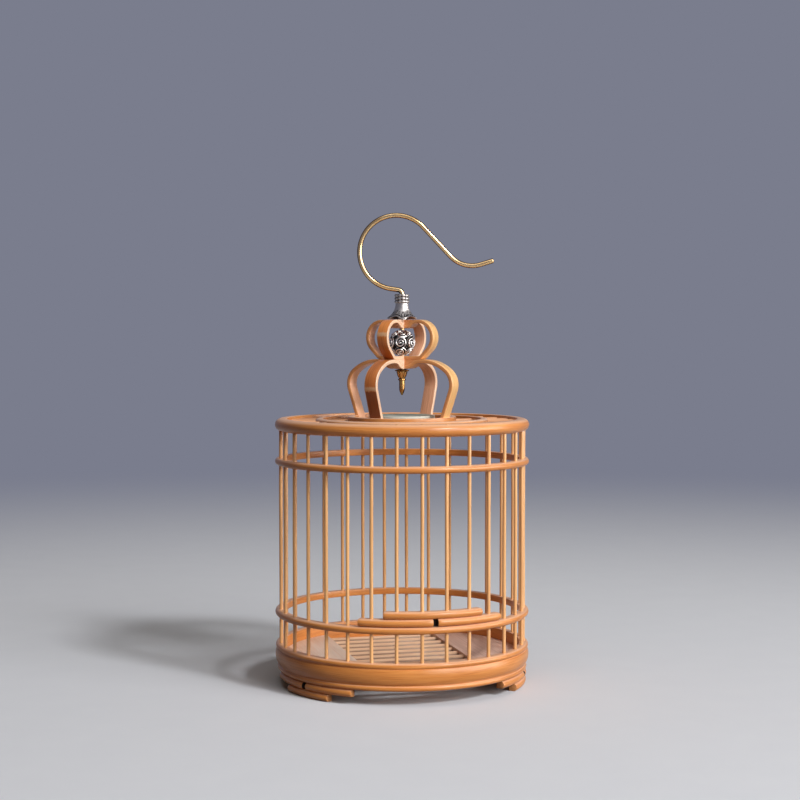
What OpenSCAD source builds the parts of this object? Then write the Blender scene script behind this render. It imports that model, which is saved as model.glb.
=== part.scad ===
// Flat-topped bamboo cage for a singing insect: drilled hoops on thin round bars, a lifting door,
// a gourd-shaped claw of bent strips and a swivelling wire hook.
// Millimetres, +Z up, origin on the table under the middle of the cage, door towards -Y.

/* [Cage] */
// Outer diameter over the rim, the hoops and the base
cage_d = 85; // [76:1:100]
// Height from the table to the top face of the rim
cage_h = 88.5; // [75:0.1:110]

/* [Bars] */
// Number of bars round the cage, door bars included
bar_count = 32; // [24:2:32]
// Diameter of a bar
bar_d = 1.2; // [0.9:0.1:1.6]
// Distance of a bar's axis inside the outer face of the hoops
bar_setback = 1.8; // [1.5:0.1:2.2]
// Free length of the bars between the base and the lower hoop
lower_gap = 9.1; // [6:0.1:12]
// Free length of the bars between the upper hoop and the rim
upper_gap = 9.1; // [6:0.1:12]
// Depth of the blind holes for the bars in the base
base_bore = 3; // [2:0.1:3.6]
// Rim left above the blind hole of a bar
rim_cover = 1; // [0.6:0.1:1.8]
// Radial clearance of a bar in its hole
bar_fit = 0.05; // [0.02:0.01:0.1]

/* [Hoops] */
// Height of a hoop
hoop_h = 2.2; // [1.8:0.1:2.8]
// Radial width of a hoop
hoop_w = 3.2; // [2.8:0.1:4]

/* [Base] */
// Height of the bead at the foot of the base
base_bead_h = 2.2; // [1.8:0.1:2.8]
// Height of the groove between the lower bead and the band
base_groove_h = 0.4; // [0.2:0.1:0.6]
// Depth of the groove inside the lower bead
base_groove_depth = 0.5; // [0.3:0.1:0.7]
// Height of the convex band of the base
band_h = 4.8; // [3.6:0.1:5.6]
// Radius of the convex face of the band
band_curve_r = 5.2; // [3.6:0.1:8]
// Height of the fullest line of the band above its lower edge
band_crest = 2.8; // [1.6:0.1:3.2]
// Height of the bead at the top of the base
base_lip_h = 1.9; // [1.5:0.1:2.6]
// Distance of the lower bead inside the band
base_bead_inset = 0.7; // [0.6:0.1:1.6]
// Distance of the upper bead inside the band
base_lip_inset = 0.15; // [0.05:0.05:0.3]
// Height of the floor ledge above the foot of the base
ledge_h = 3; // [2.4:0.1:3.6]
// Width of the ledge that carries the floor
floor_ledge = 1.7; // [1.2:0.1:2.5]

/* [Floor] */
// Width of the slatted strip between the two floor boards
floor_gap = 37; // [28:1:44]
// Thickness of a floor board
board_t = 2.2; // [1.8:0.1:2.8]
// Width of a floor slat
slat_w = 3.2; // [2:0.1:4]
// Height of a floor slat
slat_h = 1.2; // [0.8:0.1:1.4]
// Distance from slat to slat
slat_pitch = 6.7; // [5:0.1:9]
// Length of a slat end inside its board
slat_seat = 2; // [1:0.1:4]
// Clearance of glued ends in their seats
seat_fit = 0.05; // [0.02:0.01:0.1]

/* [Feet] */
// Angle of the two front feet from the door
foot_angle = 64; // [55:1:75]
// Height of the long tier of a foot
foot_rail_h = 2.5; // [1.6:0.1:3]
// Height of the short tier of a foot
foot_pad_h = 2.4; // [1.6:0.1:3]
// Length of the long tier along its curve
foot_rail_l = 39; // [24:1:44]
// Length of the short tier along its curve
foot_pad_l = 21; // [12:1:22]
// Radial width of a foot
foot_w = 3; // [2.4:0.1:3.4]
// Setback of the short tier inside the faces of the long tier
foot_step = 0.1; // [0.05:0.05:0.3]
// Width of the notch in a foot and in the long door rail
notch_w = 1.6; // [1:0.1:2.4]
// Depth of the notch from the outer face
notch_depth = 2; // [1:0.1:2.2]

/* [Door] */
// Number of bars carried by the door
door_bars = 4; // [2:2:6]
// Height of each of the two door rails
door_rail_h = 2.4; // [1.8:0.1:3]
// Length of a rail past the middle of its last bar
rail_overhang = 4; // [2.5:0.1:4.5]
// Gap between the closed door and the lower hoop
door_gap = 0.15; // [0.1:0.05:0.4]
// Gap left under the upper hoop when the door is fully up
door_stop_gap = 0.25; // [0.1:0.05:0.5]
// Radial clearance of the long rail on its two guide bars
guide_fit = 0.1; // [0.05:0.01:0.1]

/* [Top] */
// Height of the rim
rim_h = 4; // [3.4:0.1:5]
// Radial width of the rim
rim_w = 4; // [3.6:0.1:5]
// Thickness of the two inner rings of the top
ring_t = 2.4; // [2:0.1:3]
// Outer diameter of the middle ring
middle_ring_d = 58; // [50:1:64]
// Radial width of the middle ring
middle_ring_w = 2.5; // [2.4:0.1:4]
// Radial width of the inner ring
inner_ring_w = 2.3; // [2:0.1:4]
// Height of the inner ring above the rim
inner_ring_rise = 0.6; // [0.2:0.1:0.8]
// Reach of the inner ring inside the middle of a claw leg
claw_lap = 0.4; // [0.3:0.1:1]
// Diameter of the centre plate
plate_d = 22; // [16:1:28]
// Height of the plate above the rings
plate_rise = 1; // [0.5:0.1:1.5]
// Bevel round the top of the plate
plate_bevel = 0.3; // [0.1:0.1:0.4]
// Diameter of a spoke of the top
spoke_d = 1.1; // [0.8:0.1:1.3]
// Length of a spoke end inside a ring, the rim or the plate
spoke_seat = 1.1; // [0.8:0.1:1.2]

/* [Claw] */
// Width of a leg strip
leg_w = 4.5; // [3.5:0.1:5.5]
// Thickness of a leg strip
leg_t = 1.2; // [0.9:0.1:1.5]
// Height of the leg shoulders above the rim
leg_h = 19.7; // [17:0.1:24]
// Depth of the dip between the shoulders of a leg strip
leg_dip = 2; // [1:0.1:2.2]
// Radius of the bends at the dip of a leg strip
leg_dip_r = 4; // [3:0.1:4.4]
// Distance of the first crown bend from the middle
leg_shoulder = 8.9; // [8.2:0.1:11]
// Radius of the flat crown bend of a leg strip
leg_crown_r = 13.7; // [10:0.1:16]
// Angle of the flat crown bend of a leg strip
leg_crown_a = 40; // [30:1:50]
// Radius of the tight side bend of a leg strip
leg_side_r = 5.9; // [4.5:0.1:7]
// Lean of the legs towards the middle
leg_lean = 19; // [10:1:25]
// Width of a gourd strip
gourd_w = 4; // [3:0.1:4.4]
// Thickness of a gourd strip
gourd_t = 1.1; // [0.8:0.1:1.3]
// Height of the gourd strips from their seat to their shoulders
gourd_h = 13.2; // [12.8:0.1:15]
// Depth of the dip at the top of a gourd strip
gourd_dip = 1.8; // [1.2:0.1:2]
// Radius of the bends at the dip of a gourd strip
gourd_dip_r = 3; // [2.5:0.1:3.2]
// Distance of the side bend of a gourd strip from the middle
gourd_shoulder = 7; // [6.8:0.1:9]
// Radius of the side bend of a gourd strip
gourd_side_r = 5.4; // [4.6:0.1:5.6]
// Lean of the lower run of a gourd strip
gourd_lean = 45; // [35:1:50]
// Radius of the lower corner of a gourd strip
gourd_corner_r = 1.3; // [0.8:0.1:1.8]

/* [Hook] */
// Diameter of the hook wire
wire_d = 1.65; // [1.2:0.05:2]
// Radial clearance of the hook wire in the claw and the bead
wire_fit = 0.06; // [0.03:0.01:0.1]
// Rest angle of the hook about the cage axis
hook_turn = -15; // [-180:1:180]
// Radius of the tight bend above the cap
neck_bend_r = 1.4; // [1.2:0.1:2.5]
// Angle of the tight bend above the cap
neck_bend_a = 82; // [70:1:88]
// Straight run after the tight bend
neck_run = 2.4; // [1:0.1:4]
// Radius of the big bow of the hook
bow_r = 12.3; // [9:0.1:15]
// Angle of the big bow of the hook
bow_a = 219; // [200:1:225]
// Straight run after the bow
bow_run = 13.3; // [8:0.1:16]
// Radius of the turned-up end
tail_r = 9.9; // [6:0.1:12]
// Angle of the turned-up end
tail_a = 64; // [40:1:75]
// Straight run at the tip
tail_run = 4.4; // [2:0.1:8]

/* [Cap] */
// Height of the flared skirt of the cap
skirt_h = 5.3; // [4:0.1:7]
// Diameter of the skirt at its edge
skirt_d = 10; // [8:0.1:11]
// Diameter of the cap's neck
cap_neck_d = 4.3; // [3.6:0.1:4.6]
// Diameter of the collar rings
collar_d = 5.1; // [4.8:0.1:6]
// Height of the collar
collar_h = 3.1; // [2.4:0.1:4]
// Number of arches in the edge of the skirt
arches = 5; // [4:1:5]
// Width of an arch at the foot of the skirt
arch_w = 4.4; // [3.4:0.1:4.5]
// Height of an arch
arch_h = 0.9; // [0.6:0.1:1.2]
// Diameter of the solid middle of the skirt behind the arches
skirt_core_d = 7.8; // [7.7:0.1:8.4]
// Angle of a point between two arches from the door
arch_turn = -9; // [-36:1:36]
// Gap between the skirt and the shoulders of the claw
skirt_gap = 0.2; // [0.2:0.05:0.5]
// Gap between the seat of the cap and the claw
cap_gap = 0.05; // [0.03:0.01:0.1]

/* [Bead] */
// Diameter of the bead
bead_d = 8.9; // [7:0.1:9]
// Flat ground off each pole of the bead
bead_flat = 0.2; // [0.1:0.05:0.4]
// Gap between the bead and the foot of the gourd
bead_gap = 0.15; // [0.05:0.05:0.3]

/* [Finial] */
// Diameter of the flower under the claw
flower_d = 5; // [4:0.1:6]
// Number of petals of the flower
petals = 6; // [5:1:8]
// Height of the flower
flower_h = 0.8; // [0.6:0.1:1.6]
// Height of the finial's cup
cup_h = 2.7; // [1.6:0.1:3.2]
// Diameter of the cup under the flower
cup_d = 3.7; // [3:0.1:4.2]
// Diameter of the finial's pin
pin_d = 1.9; // [1.4:0.1:2.4]
// Length of the finial's pin
pin_l = 5.2; // [3:0.1:7]
// Length of the pin's point
pin_point = 1.6; // [1:0.1:2]
// Thickness of the ring round the top of the pin
pin_ring_t = 0.8; // [0.6:0.1:1]
// Gap between the flower and the claw
flower_gap = 0.1; // [0.05:0.05:0.2]
// Cup left below the foot of the hook wire
cup_floor = 0.6; // [0.4:0.1:1]

/* [Hidden] */
$fn = 64;
knuckle = 1.04;
knuckle_gap = 0.1;
lap_land = 0.3;
cut = 1;
outer_r = cage_d / 2;
inner_r = outer_r - hoop_w;
bar_r = outer_r - bar_setback;
bar_bore_d = bar_d + 2 * bar_fit;
bar_step = 360 / bar_count;
door_half = door_bars / 2;
fixed_bars = bar_count - door_bars;

base_z = foot_rail_h + foot_pad_h;
band_z = base_z + base_bead_h;
lip_z = band_z + band_h;
base_top = lip_z + base_lip_h;
bead_ring_r = outer_r - base_bead_inset;
bead_ring_h = base_bead_h - base_groove_h;
ledge_r = inner_r - floor_ledge;
floor_z = base_z + ledge_h;
floor_r = inner_r - seat_fit;
slat_z = floor_z + (board_t - slat_h) / 2;
slat_arc_r = (slat_w * slat_w / 4 + slat_h * slat_h) / (2 * slat_h);
slat_end = floor_gap / 2 + slat_seat;
seat_wall = 1;
board_half = sqrt(floor_r * floor_r - floor_gap * floor_gap / 4);
slat_pairs = floor((board_half - slat_w / 2 - seat_wall + slat_pitch / 2) / slat_pitch);

lower_hoop_z = base_top + lower_gap;
rim_z = cage_h - rim_h;
upper_hoop_z = rim_z - upper_gap - hoop_h;
bar_foot = base_top - base_bore + bar_fit;
bar_top = cage_h - rim_cover - bar_fit;

long_rail_z = lower_hoop_z + hoop_h + door_gap;
short_rail_z = long_rail_z + door_rail_h;
door_travel = upper_hoop_z - short_rail_z - door_rail_h - door_stop_gap;
overhang_a = rail_overhang / bar_r * 180 / PI;
long_rail_a = (door_half + 0.5) * bar_step + overhang_a;
short_rail_a = (door_half - 0.5) * bar_step + overhang_a;

foot_r = bead_ring_r - seat_fit;
foot_rail_a = foot_rail_l / foot_r * 90 / PI;
foot_pad_a = foot_pad_l / foot_r * 90 / PI;
notch_over = 0.3;
tier_lap = 0.1;

rim_in = outer_r - rim_w;
ring_z = cage_h - ring_t;
spoke_z = cage_h - ring_t / 2;
spoke_bore_d = spoke_d + 2 * seat_fit;
middle_r = middle_ring_d / 2;
middle_in = middle_r - middle_ring_w;
inner_spokes = floor(bar_count / 2);

leg_dip_a = acos(1 - leg_dip / (2 * leg_dip_r));
leg_dip_u = 2 * leg_dip_r * sin(leg_dip_a);
leg_flat = leg_w / 2 + lap_land;
leg_side_a = 90 + leg_lean - leg_crown_a;
leg_top = cage_h + leg_h;
leg_axis = leg_top - leg_t / 2;
leg_bend_u = leg_shoulder + leg_crown_r * sin(leg_crown_a)
  + leg_side_r * (cos(leg_lean) - sin(leg_crown_a));
leg_bend_z = leg_axis - leg_crown_r * (1 - cos(leg_crown_a))
  - leg_side_r * (cos(leg_crown_a) + sin(leg_lean));
leg_foot_r = leg_bend_u - (leg_bend_z - cage_h) * tan(leg_lean);
leg_run = (leg_bend_z - ring_z) / cos(leg_lean) - leg_t / 2 * tan(leg_lean);
leg_mid_z = leg_axis - leg_dip;

inner_in = leg_foot_r - claw_lap;
inner_out = inner_in + inner_ring_w;

gourd_z = leg_top;
gourd_top = gourd_z + gourd_h;
gourd_axis = gourd_top - gourd_t / 2;
gourd_base = gourd_z + gourd_t / 2;
gourd_dip_a = acos(1 - gourd_dip / (2 * gourd_dip_r));
gourd_dip_u = 2 * gourd_dip_r * sin(gourd_dip_a);
gourd_flat = gourd_w / 2 + lap_land;
gourd_drop = gourd_axis - gourd_base - gourd_side_r * (1 + sin(gourd_lean))
  - gourd_corner_r * (1 - sin(gourd_lean));
gourd_run = gourd_drop / cos(gourd_lean);
gourd_foot = gourd_shoulder + gourd_side_r * cos(gourd_lean)
  - gourd_run * sin(gourd_lean) - gourd_corner_r * cos(gourd_lean);
gourd_mid_z = gourd_axis - gourd_dip;

block_z = leg_mid_z + leg_t / 2;
wire_bore_d = wire_d + 2 * wire_fit;
bead_z = gourd_z + gourd_t + bead_gap + bead_d / 2 - bead_flat;
seat_z = gourd_mid_z + gourd_t / 2 + cap_gap;
seat_d = collar_d - 0.8;
collar_ring_d = collar_h / 3 - 0.1;
skirt_z = gourd_top + skirt_gap;
neck_z = skirt_z + skirt_h;
cap_top = neck_z + collar_h;
skirt_edge = 0.5;
arch_r = (arch_w * arch_w / 4 + arch_h * arch_h) / (2 * arch_h);
skirt_flare = (skirt_d - cap_neck_d) / 2;
skirt_curve = (pow(skirt_flare, 2) + pow(skirt_h - skirt_edge, 2)) / (2 * skirt_flare);
flower_top = leg_mid_z - leg_t / 2 - flower_gap;
flower_z = flower_top - flower_h;
cup_z = flower_z - cup_h;
wire_foot = cup_z + cup_floor;
petal_d = flower_d * 0.42;
flower_core = flower_d - petal_d;

bamboo = "#c98743";
bamboo_dark = "#b06f31";
bamboo_pale = "#e0b184";
brass = "#c79a3e";
silver = "#c9ccd0";
stone = "#aab5a6";

bar_names = [for (k = [1:fixed_bars]) str("bar_", k)];
door_bar_names = [for (k = [1:door_bars]) str("door_bar_", k)];

function bar_angle(i) = (i + 0.5) * bar_step;
function door_angle(k) = (k - (door_bars - 1) / 2) * bar_step;

// Places a piece on a circle, angle 0 at the door and growing towards +X.
module at(angle, radius) {
  rotate([0, 0, angle])
    translate([0, -radius, 0])
      children();
}

// Hoop stock in section: flat inside, half-round outside.
module half_round(radius, width, height) {
  translate([radius - width, 0])
    square([width - height / 2, height]);
  translate([radius - height / 2, height / 2])
    circle(d = height);
}

// Piece of hoop stock centred on an angle.
module hoop_arc(angle, half_span, radius, width, height) {
  rotate([0, 0, angle - 90 - half_span])
    rotate_extrude(angle = 2 * half_span)
      half_round(radius, width, height);
}

// Upright bores on the bar circle, from one bar number to another.
module bar_bores(first, last, z, height) {
  for (i = [first:last])
    at(bar_angle(i), bar_r)
      translate([0, 0, z])
        cylinder(d = bar_bore_d, h = height);
}

// Upright bores for the door bars.
module door_bores(z, height) {
  for (k = [0:door_bars - 1])
    at(door_angle(k), bar_r)
      translate([0, 0, z])
        cylinder(d = bar_bore_d, h = height);
}

// Level rods or bores pointing at the cage axis, between two radii.
module spoke_rods(count, turn, diameter, from, to) {
  for (i = [0:count - 1])
    at(i * 360 / count + turn, 0)
      translate([0, -from, spoke_z])
        rotate([90, 0, 0])
          cylinder(d = diameter, h = to - from);
}

// Wire bent along steps of [radius, angle] or [0, length], left turns positive, starting along +X.
// A knuckle a little thicker than the wire joins each step to the next.
module bent_wire(steps, diameter, i = 0) {
  if (i > 0 && i < len(steps))
    sphere(d = knuckle * diameter);
  if (i < len(steps)) {
    r = steps[i][0];
    a = steps[i][1];
    near = i > 0 ? knuckle_gap : 0;
    far = i < len(steps) - 1 ? knuckle_gap : 0;
    if (r == 0) {
      translate([near, 0, 0])
        rotate([90, 0, 90])
          cylinder(d = diameter, h = a - near - far);
      translate([a, 0, 0])
        bent_wire(steps, diameter, i + 1);
    } else {
      side = a > 0 ? 0 : 180;
      rotate([side, 0, 0])
        translate([0, r, 0])
          rotate([0, 0, near / r * 180 / PI - 90])
            rotate_extrude(angle = abs(a) - (near + far) / r * 180 / PI)
              translate([r, 0])
                circle(d = diameter);
      translate([0, sign(a) * r, 0])
        rotate([0, 0, a])
          translate([0, -sign(a) * r, 0])
            bent_wire(steps, diameter, i + 1);
    }
  }
}

// Part of a flat ring between two angles.
module ring_sector(radius, width, from, to) {
  reach = 3 * (radius + width);
  middle = (from + to) / 2;
  intersection() {
    difference() {
      circle(r = radius + width / 2);
      circle(r = radius - width / 2);
    }
    polygon([
      [0, 0],
      [reach * cos(from), reach * sin(from)],
      [reach * cos(middle), reach * sin(middle)],
      [reach * cos(to), reach * sin(to)]
    ]);
  }
}

// Edge view of a strip bent along the same kind of steps, left turns positive, starting along +X.
module bent_band(steps, width, to_knuckle, i = 0) {
  if (i < len(steps) || to_knuckle)
    circle(d = knuckle * width);
  if (i < len(steps)) {
    r = steps[i][0];
    a = steps[i][1];
    far = i < len(steps) - 1 || to_knuckle ? knuckle_gap : 0;
    if (r == 0) {
      translate([knuckle_gap, -width / 2])
        square([a - knuckle_gap - far, width]);
      translate([a, 0])
        bent_band(steps, width, to_knuckle, i + 1);
    } else {
      near_a = knuckle_gap / r * 180 / PI;
      far_a = far / r * 180 / PI;
      translate([0, sign(a) * r])
        mirror([0, a > 0 ? 0 : 1])
          ring_sector(r, width, near_a - 90, abs(a) - far_a - 90);
      translate([0, sign(a) * r])
        rotate(a)
          translate([0, -sign(a) * r])
            bent_band(steps, width, to_knuckle, i + 1);
    }
  }
}

// Edge view of a strip: both halves from a distance off the axis, and the straight middle.
module band_outline(steps, half, width, to_knuckle) {
  translate([knuckle_gap - half, -width / 2])
    square([2 * (half - knuckle_gap), width]);
  translate([half, 0])
    bent_band(steps, width, to_knuckle);
  mirror([1, 0])
    translate([half, 0])
      bent_band(steps, width, to_knuckle);
}

// Stands an edge view upright and gives it the width of the strip.
module upright(width) {
  rotate([90, 0, 0])
    translate([0, 0, -width / 2])
      linear_extrude(height = width)
        children();
}

// Half of a crossing lap at the cage axis, cut into the upper or the lower face of a strip.
module lap_cut(width, thickness, z, up) {
  reach = width / 2 + seat_fit;
  translate([-reach, -width, up ? z : z - thickness])
    cube([2 * reach, 2 * width, thickness]);
}

module wire_bore(z, height) {
  translate([0, 0, z])
    cylinder(d = wire_bore_d, h = height);
}

// Turned base: lower bead, convex band, upper bead, and a ledge inside for the floor.
module base_hoop() {
  color(bamboo)
    difference() {
      rotate_extrude() {
        translate([0, base_z])
          half_round(bead_ring_r, bead_ring_r - inner_r, bead_ring_h);
        translate([ledge_r, base_z])
          square([floor_ledge + hoop_w / 2, ledge_h]);
        translate([inner_r, base_z + bead_ring_h / 2])
          square([
            bead_ring_r - inner_r - base_groove_depth,
            base_groove_h + (bead_ring_h + band_h) / 2
          ]);
        intersection() {
          translate([inner_r, band_z])
            square([hoop_w, band_h]);
          translate([outer_r - band_curve_r, band_z + band_crest])
            circle(r = band_curve_r);
        }
        translate([0, lip_z])
          half_round(outer_r - base_lip_inset, hoop_w - base_lip_inset, base_lip_h);
      }
      bar_bores(0, bar_count - 1, base_top - base_bore, base_bore + cut);
    }
}

// Stepped foot of two tiers with a notch in the middle of the long one.
module foot(angle) {
  color(bamboo_dark)
    difference() {
      union() {
        translate([0, 0, foot_pad_h])
          hoop_arc(angle, foot_rail_a, foot_r, foot_w, foot_rail_h);
        hoop_arc(angle, foot_pad_a, foot_r - foot_step, foot_w - 2 * foot_step, foot_pad_h + tier_lap);
      }
      at(angle, foot_r - notch_depth)
        translate([-notch_w / 2, -2 * notch_depth, foot_pad_h - notch_over])
          cube([notch_w, 2 * notch_depth, foot_rail_h + notch_over + cut]);
    }
}

module lower_hoop() {
  color(bamboo)
    difference() {
      translate([0, 0, lower_hoop_z])
        rotate_extrude()
          half_round(outer_r, hoop_w, hoop_h);
      bar_bores(0, bar_count - 1, lower_hoop_z - cut, hoop_h + 2 * cut);
    }
}

module upper_hoop() {
  color(bamboo)
    difference() {
      translate([0, 0, upper_hoop_z])
        rotate_extrude()
          half_round(outer_r, hoop_w, hoop_h);
      bar_bores(0, bar_count - 1, upper_hoop_z - cut, hoop_h + 2 * cut);
    }
}

// Bullnosed rim: blind holes for the bars, through holes for the door bars, level holes for the spokes.
module top_rim() {
  color(bamboo)
    difference() {
      translate([0, 0, rim_z])
        rotate_extrude()
          half_round(outer_r, rim_w, rim_h);
      bar_bores(door_half, bar_count - 1 - door_half, rim_z - cut, rim_h - rim_cover + cut);
      door_bores(rim_z - cut, rim_h + 2 * cut);
      spoke_rods(bar_count, bar_step / 2, spoke_bore_d, rim_in - cut, rim_in + spoke_seat);
    }
}

module top_middle_ring() {
  color(bamboo)
    difference() {
      translate([0, 0, ring_z])
        rotate_extrude()
          half_round(middle_r, middle_ring_w, ring_t);
      spoke_rods(bar_count, bar_step / 2, spoke_bore_d, middle_r - spoke_seat, middle_r + cut);
      spoke_rods(inner_spokes, bar_step, spoke_bore_d, middle_in - cut, middle_in + spoke_seat);
    }
}

// Inner ring of the top with the four slanting seats of the claw legs.
module top_inner_ring() {
  color(bamboo)
    difference() {
      translate([0, 0, ring_z])
        rotate_extrude()
          translate([inner_in, 0])
            square([inner_ring_w, ring_t + inner_ring_rise]);
      spoke_rods(inner_spokes, bar_step, spoke_bore_d, inner_in - cut, inner_out + cut);
      for (a = [45:90:315])
        rotate([0, 0, a])
          translate([leg_foot_r, 0, cage_h])
            rotate([0, leg_lean, 0])
              cube([leg_t + 2 * seat_fit, leg_w + 2 * seat_fit, 4 * ring_t], center = true);
    }
}

module top_plate() {
  color(stone)
    difference() {
      translate([0, 0, ring_z])
        cylinder(d = plate_d, h = ring_t + plate_rise - plate_bevel);
      spoke_rods(inner_spokes, bar_step, spoke_bore_d, plate_d / 2 - spoke_seat, plate_d / 2 + cut);
    }
  color(stone)
    translate([0, 0, cage_h + plate_rise - plate_bevel])
      cylinder(d1 = plate_d, d2 = plate_d - 2 * plate_bevel, h = plate_bevel);
}

module top_outer_spokes() {
  color(bamboo)
    spoke_rods(
      bar_count, bar_step / 2, spoke_d,
      middle_r - spoke_seat + seat_fit, rim_in + spoke_seat - seat_fit
    );
}

module top_inner_spokes() {
  color(bamboo)
    spoke_rods(
      inner_spokes, bar_step, spoke_d,
      plate_d / 2 - spoke_seat + seat_fit, middle_in + spoke_seat - seat_fit
    );
}

// Slat section: flat below, rounded above.
module slat_section(grow) {
  intersection() {
    translate([0, slat_h - slat_arc_r])
      circle(r = slat_arc_r + grow);
    translate([-slat_w, -grow])
      square([2 * slat_w, slat_h + 2 * grow]);
  }
}

module slat_row(grow, half_length) {
  for (k = [-slat_pairs:slat_pairs - 1])
    translate([-half_length, (k + 0.5) * slat_pitch, slat_z])
      rotate([90, 0, 90])
        linear_extrude(height = 2 * half_length)
          slat_section(grow);
}

// Floor board: a segment of the round floor with seats for the slat ends along its straight edge.
module floor_board(side) {
  color(bamboo_pale)
    difference() {
      intersection() {
        translate([0, 0, floor_z])
          cylinder(r = floor_r, h = board_t);
        translate([side > 0 ? floor_gap / 2 : -floor_gap / 2 - cage_d, -cage_d, floor_z])
          cube([cage_d, 2 * cage_d, board_t]);
      }
      slat_row(seat_fit, slat_end);
    }
}

module floor_slats() {
  color(bamboo_pale)
    slat_row(0, slat_end - seat_fit);
}

// Short bars under the door, from the base to the lower hoop.
module sill_bars() {
  color(bamboo)
    for (k = [0:door_bars - 1])
      at(door_angle(k), bar_r)
        translate([0, 0, bar_foot])
          cylinder(d = bar_d, h = lower_hoop_z + hoop_h - bar_foot);
}

module bar(k) {
  color(bamboo)
    at(bar_angle(door_half + k - 1), bar_r)
      translate([0, 0, bar_foot])
        cylinder(d = bar_d, h = bar_top - bar_foot);
}

module door_bar(k) {
  color(bamboo)
    at(door_angle(k - 1), bar_r)
      translate([0, 0, long_rail_z])
        cylinder(d = bar_d, h = cage_h - long_rail_z);
}

// Long door rail, guided on the fixed bars at both ends.
module door_rail_long() {
  color(bamboo)
    difference() {
      translate([0, 0, long_rail_z])
        hoop_arc(0, long_rail_a, outer_r, hoop_w, door_rail_h);
      door_bores(long_rail_z - cut, door_rail_h + 2 * cut);
      for (side = [-1, 1])
        at(side * (door_half + 0.5) * bar_step, bar_r)
          translate([0, 0, long_rail_z - cut])
            cylinder(d = bar_d + 2 * guide_fit, h = door_rail_h + 2 * cut);
      translate([-notch_w / 2, -outer_r - cut, long_rail_z - cut])
        cube([notch_w, notch_depth + cut, door_rail_h + 2 * cut]);
    }
}

module door_rail_short() {
  color(bamboo)
    difference() {
      translate([0, 0, short_rail_z])
        hoop_arc(0, short_rail_a, outer_r, hoop_w, door_rail_h);
      door_bores(short_rail_z - cut, door_rail_h + 2 * cut);
    }
}

// Leg strip of the claw: dipped in the middle, over two shoulders, down into the inner ring.
module leg_strip(turn, lap_up) {
  steps = [
    [leg_dip_r, leg_dip_a],
    [leg_dip_r, -leg_dip_a],
    [0, leg_shoulder - leg_flat - leg_dip_u],
    [leg_crown_r, -leg_crown_a],
    [leg_side_r, -leg_side_a],
    [0, leg_run]
  ];
  color(bamboo_dark)
    rotate([0, 0, turn])
      difference() {
        upright(leg_w)
          translate([0, leg_mid_z])
            band_outline(steps, leg_flat, leg_t, false);
        lap_cut(leg_w, leg_t, leg_mid_z, lap_up);
        wire_bore(leg_mid_z - leg_t, 2 * leg_t);
      }
}

// Gourd strip of the claw: a closed heart-shaped loop on the shoulders of the leg strips.
module gourd_strip(turn, lap_up) {
  steps = [
    [gourd_dip_r, gourd_dip_a],
    [gourd_dip_r, -gourd_dip_a],
    [0, gourd_shoulder - gourd_flat - gourd_dip_u],
    [gourd_side_r, -90 - gourd_lean],
    [0, gourd_run],
    [gourd_corner_r, gourd_lean - 90]
  ];
  color(bamboo_dark)
    rotate([0, 0, turn])
      difference() {
        upright(gourd_w) {
          translate([0, gourd_mid_z])
            band_outline(steps, gourd_flat, gourd_t, true);
          translate([knuckle_gap - gourd_foot, gourd_z])
            square([2 * (gourd_foot - knuckle_gap), gourd_t]);
        }
        lap_cut(gourd_w, gourd_t, gourd_mid_z, lap_up);
        lap_cut(gourd_w, gourd_t, gourd_base, lap_up);
        wire_bore(gourd_z - cut, gourd_h + 2 * cut);
      }
}

module claw_waist_block() {
  color(bamboo_pale)
    difference() {
      rotate([0, 0, 45])
        translate([-gourd_w / 2, -gourd_w / 2, block_z])
          cube([gourd_w, gourd_w, gourd_z - block_z]);
      wire_bore(block_z - cut, gourd_z - block_z + 2 * cut);
    }
}

// Hook bent from one wire, shank on the cage axis.
module hook() {
  steps = [
    [0, cap_top - wire_foot],
    [neck_bend_r, neck_bend_a],
    [0, neck_run],
    [bow_r, -bow_a],
    [0, bow_run],
    [tail_r, tail_a],
    [0, tail_run]
  ];
  color(brass)
    rotate([0, 0, hook_turn])
      translate([0, 0, wire_foot])
        rotate([90, 0, 0])
          rotate([0, 0, 90])
            bent_wire(steps, wire_d);
}

// Turned cap: seat boss, flared skirt with arches in its edge, ringed collar.
module hook_cap() {
  color(silver)
    difference() {
      rotate_extrude() {
        translate([0, seat_z])
          square([seat_d / 2, skirt_z - seat_z + skirt_edge]);
        difference() {
          translate([0, skirt_z])
            square([skirt_d / 2, skirt_h]);
          translate([cap_neck_d / 2 + skirt_curve, neck_z])
            circle(r = skirt_curve);
        }
        translate([0, neck_z - skirt_edge])
          square([cap_neck_d / 2, collar_h + skirt_edge]);
        for (k = [0:2])
          translate([0, neck_z + (k + 0.5) * collar_h / 3])
            intersection() {
              translate([collar_d / 2 - collar_h / 6, 0])
                circle(d = collar_ring_d);
              translate([0, -collar_h])
                square([collar_d, 2 * collar_h]);
            }
      }
      for (i = [0:arches - 1])
        at((i + 0.5) * 360 / arches + arch_turn, skirt_core_d / 2)
          translate([0, 0, skirt_z + arch_h - arch_r])
            rotate([90, 0, 0])
              cylinder(r = arch_r, h = skirt_d);
      wire_bore(seat_z - cut, cap_top - seat_z + 2 * cut);
    }
}

module bead() {
  color(silver)
    difference() {
      intersection() {
        translate([0, 0, bead_z])
          sphere(d = bead_d);
        translate([0, 0, bead_z - bead_d / 2 + bead_flat])
          cylinder(d = bead_d + cut, h = bead_d - 2 * bead_flat);
      }
      wire_bore(bead_z - bead_d, 2 * bead_d);
    }
}

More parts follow.
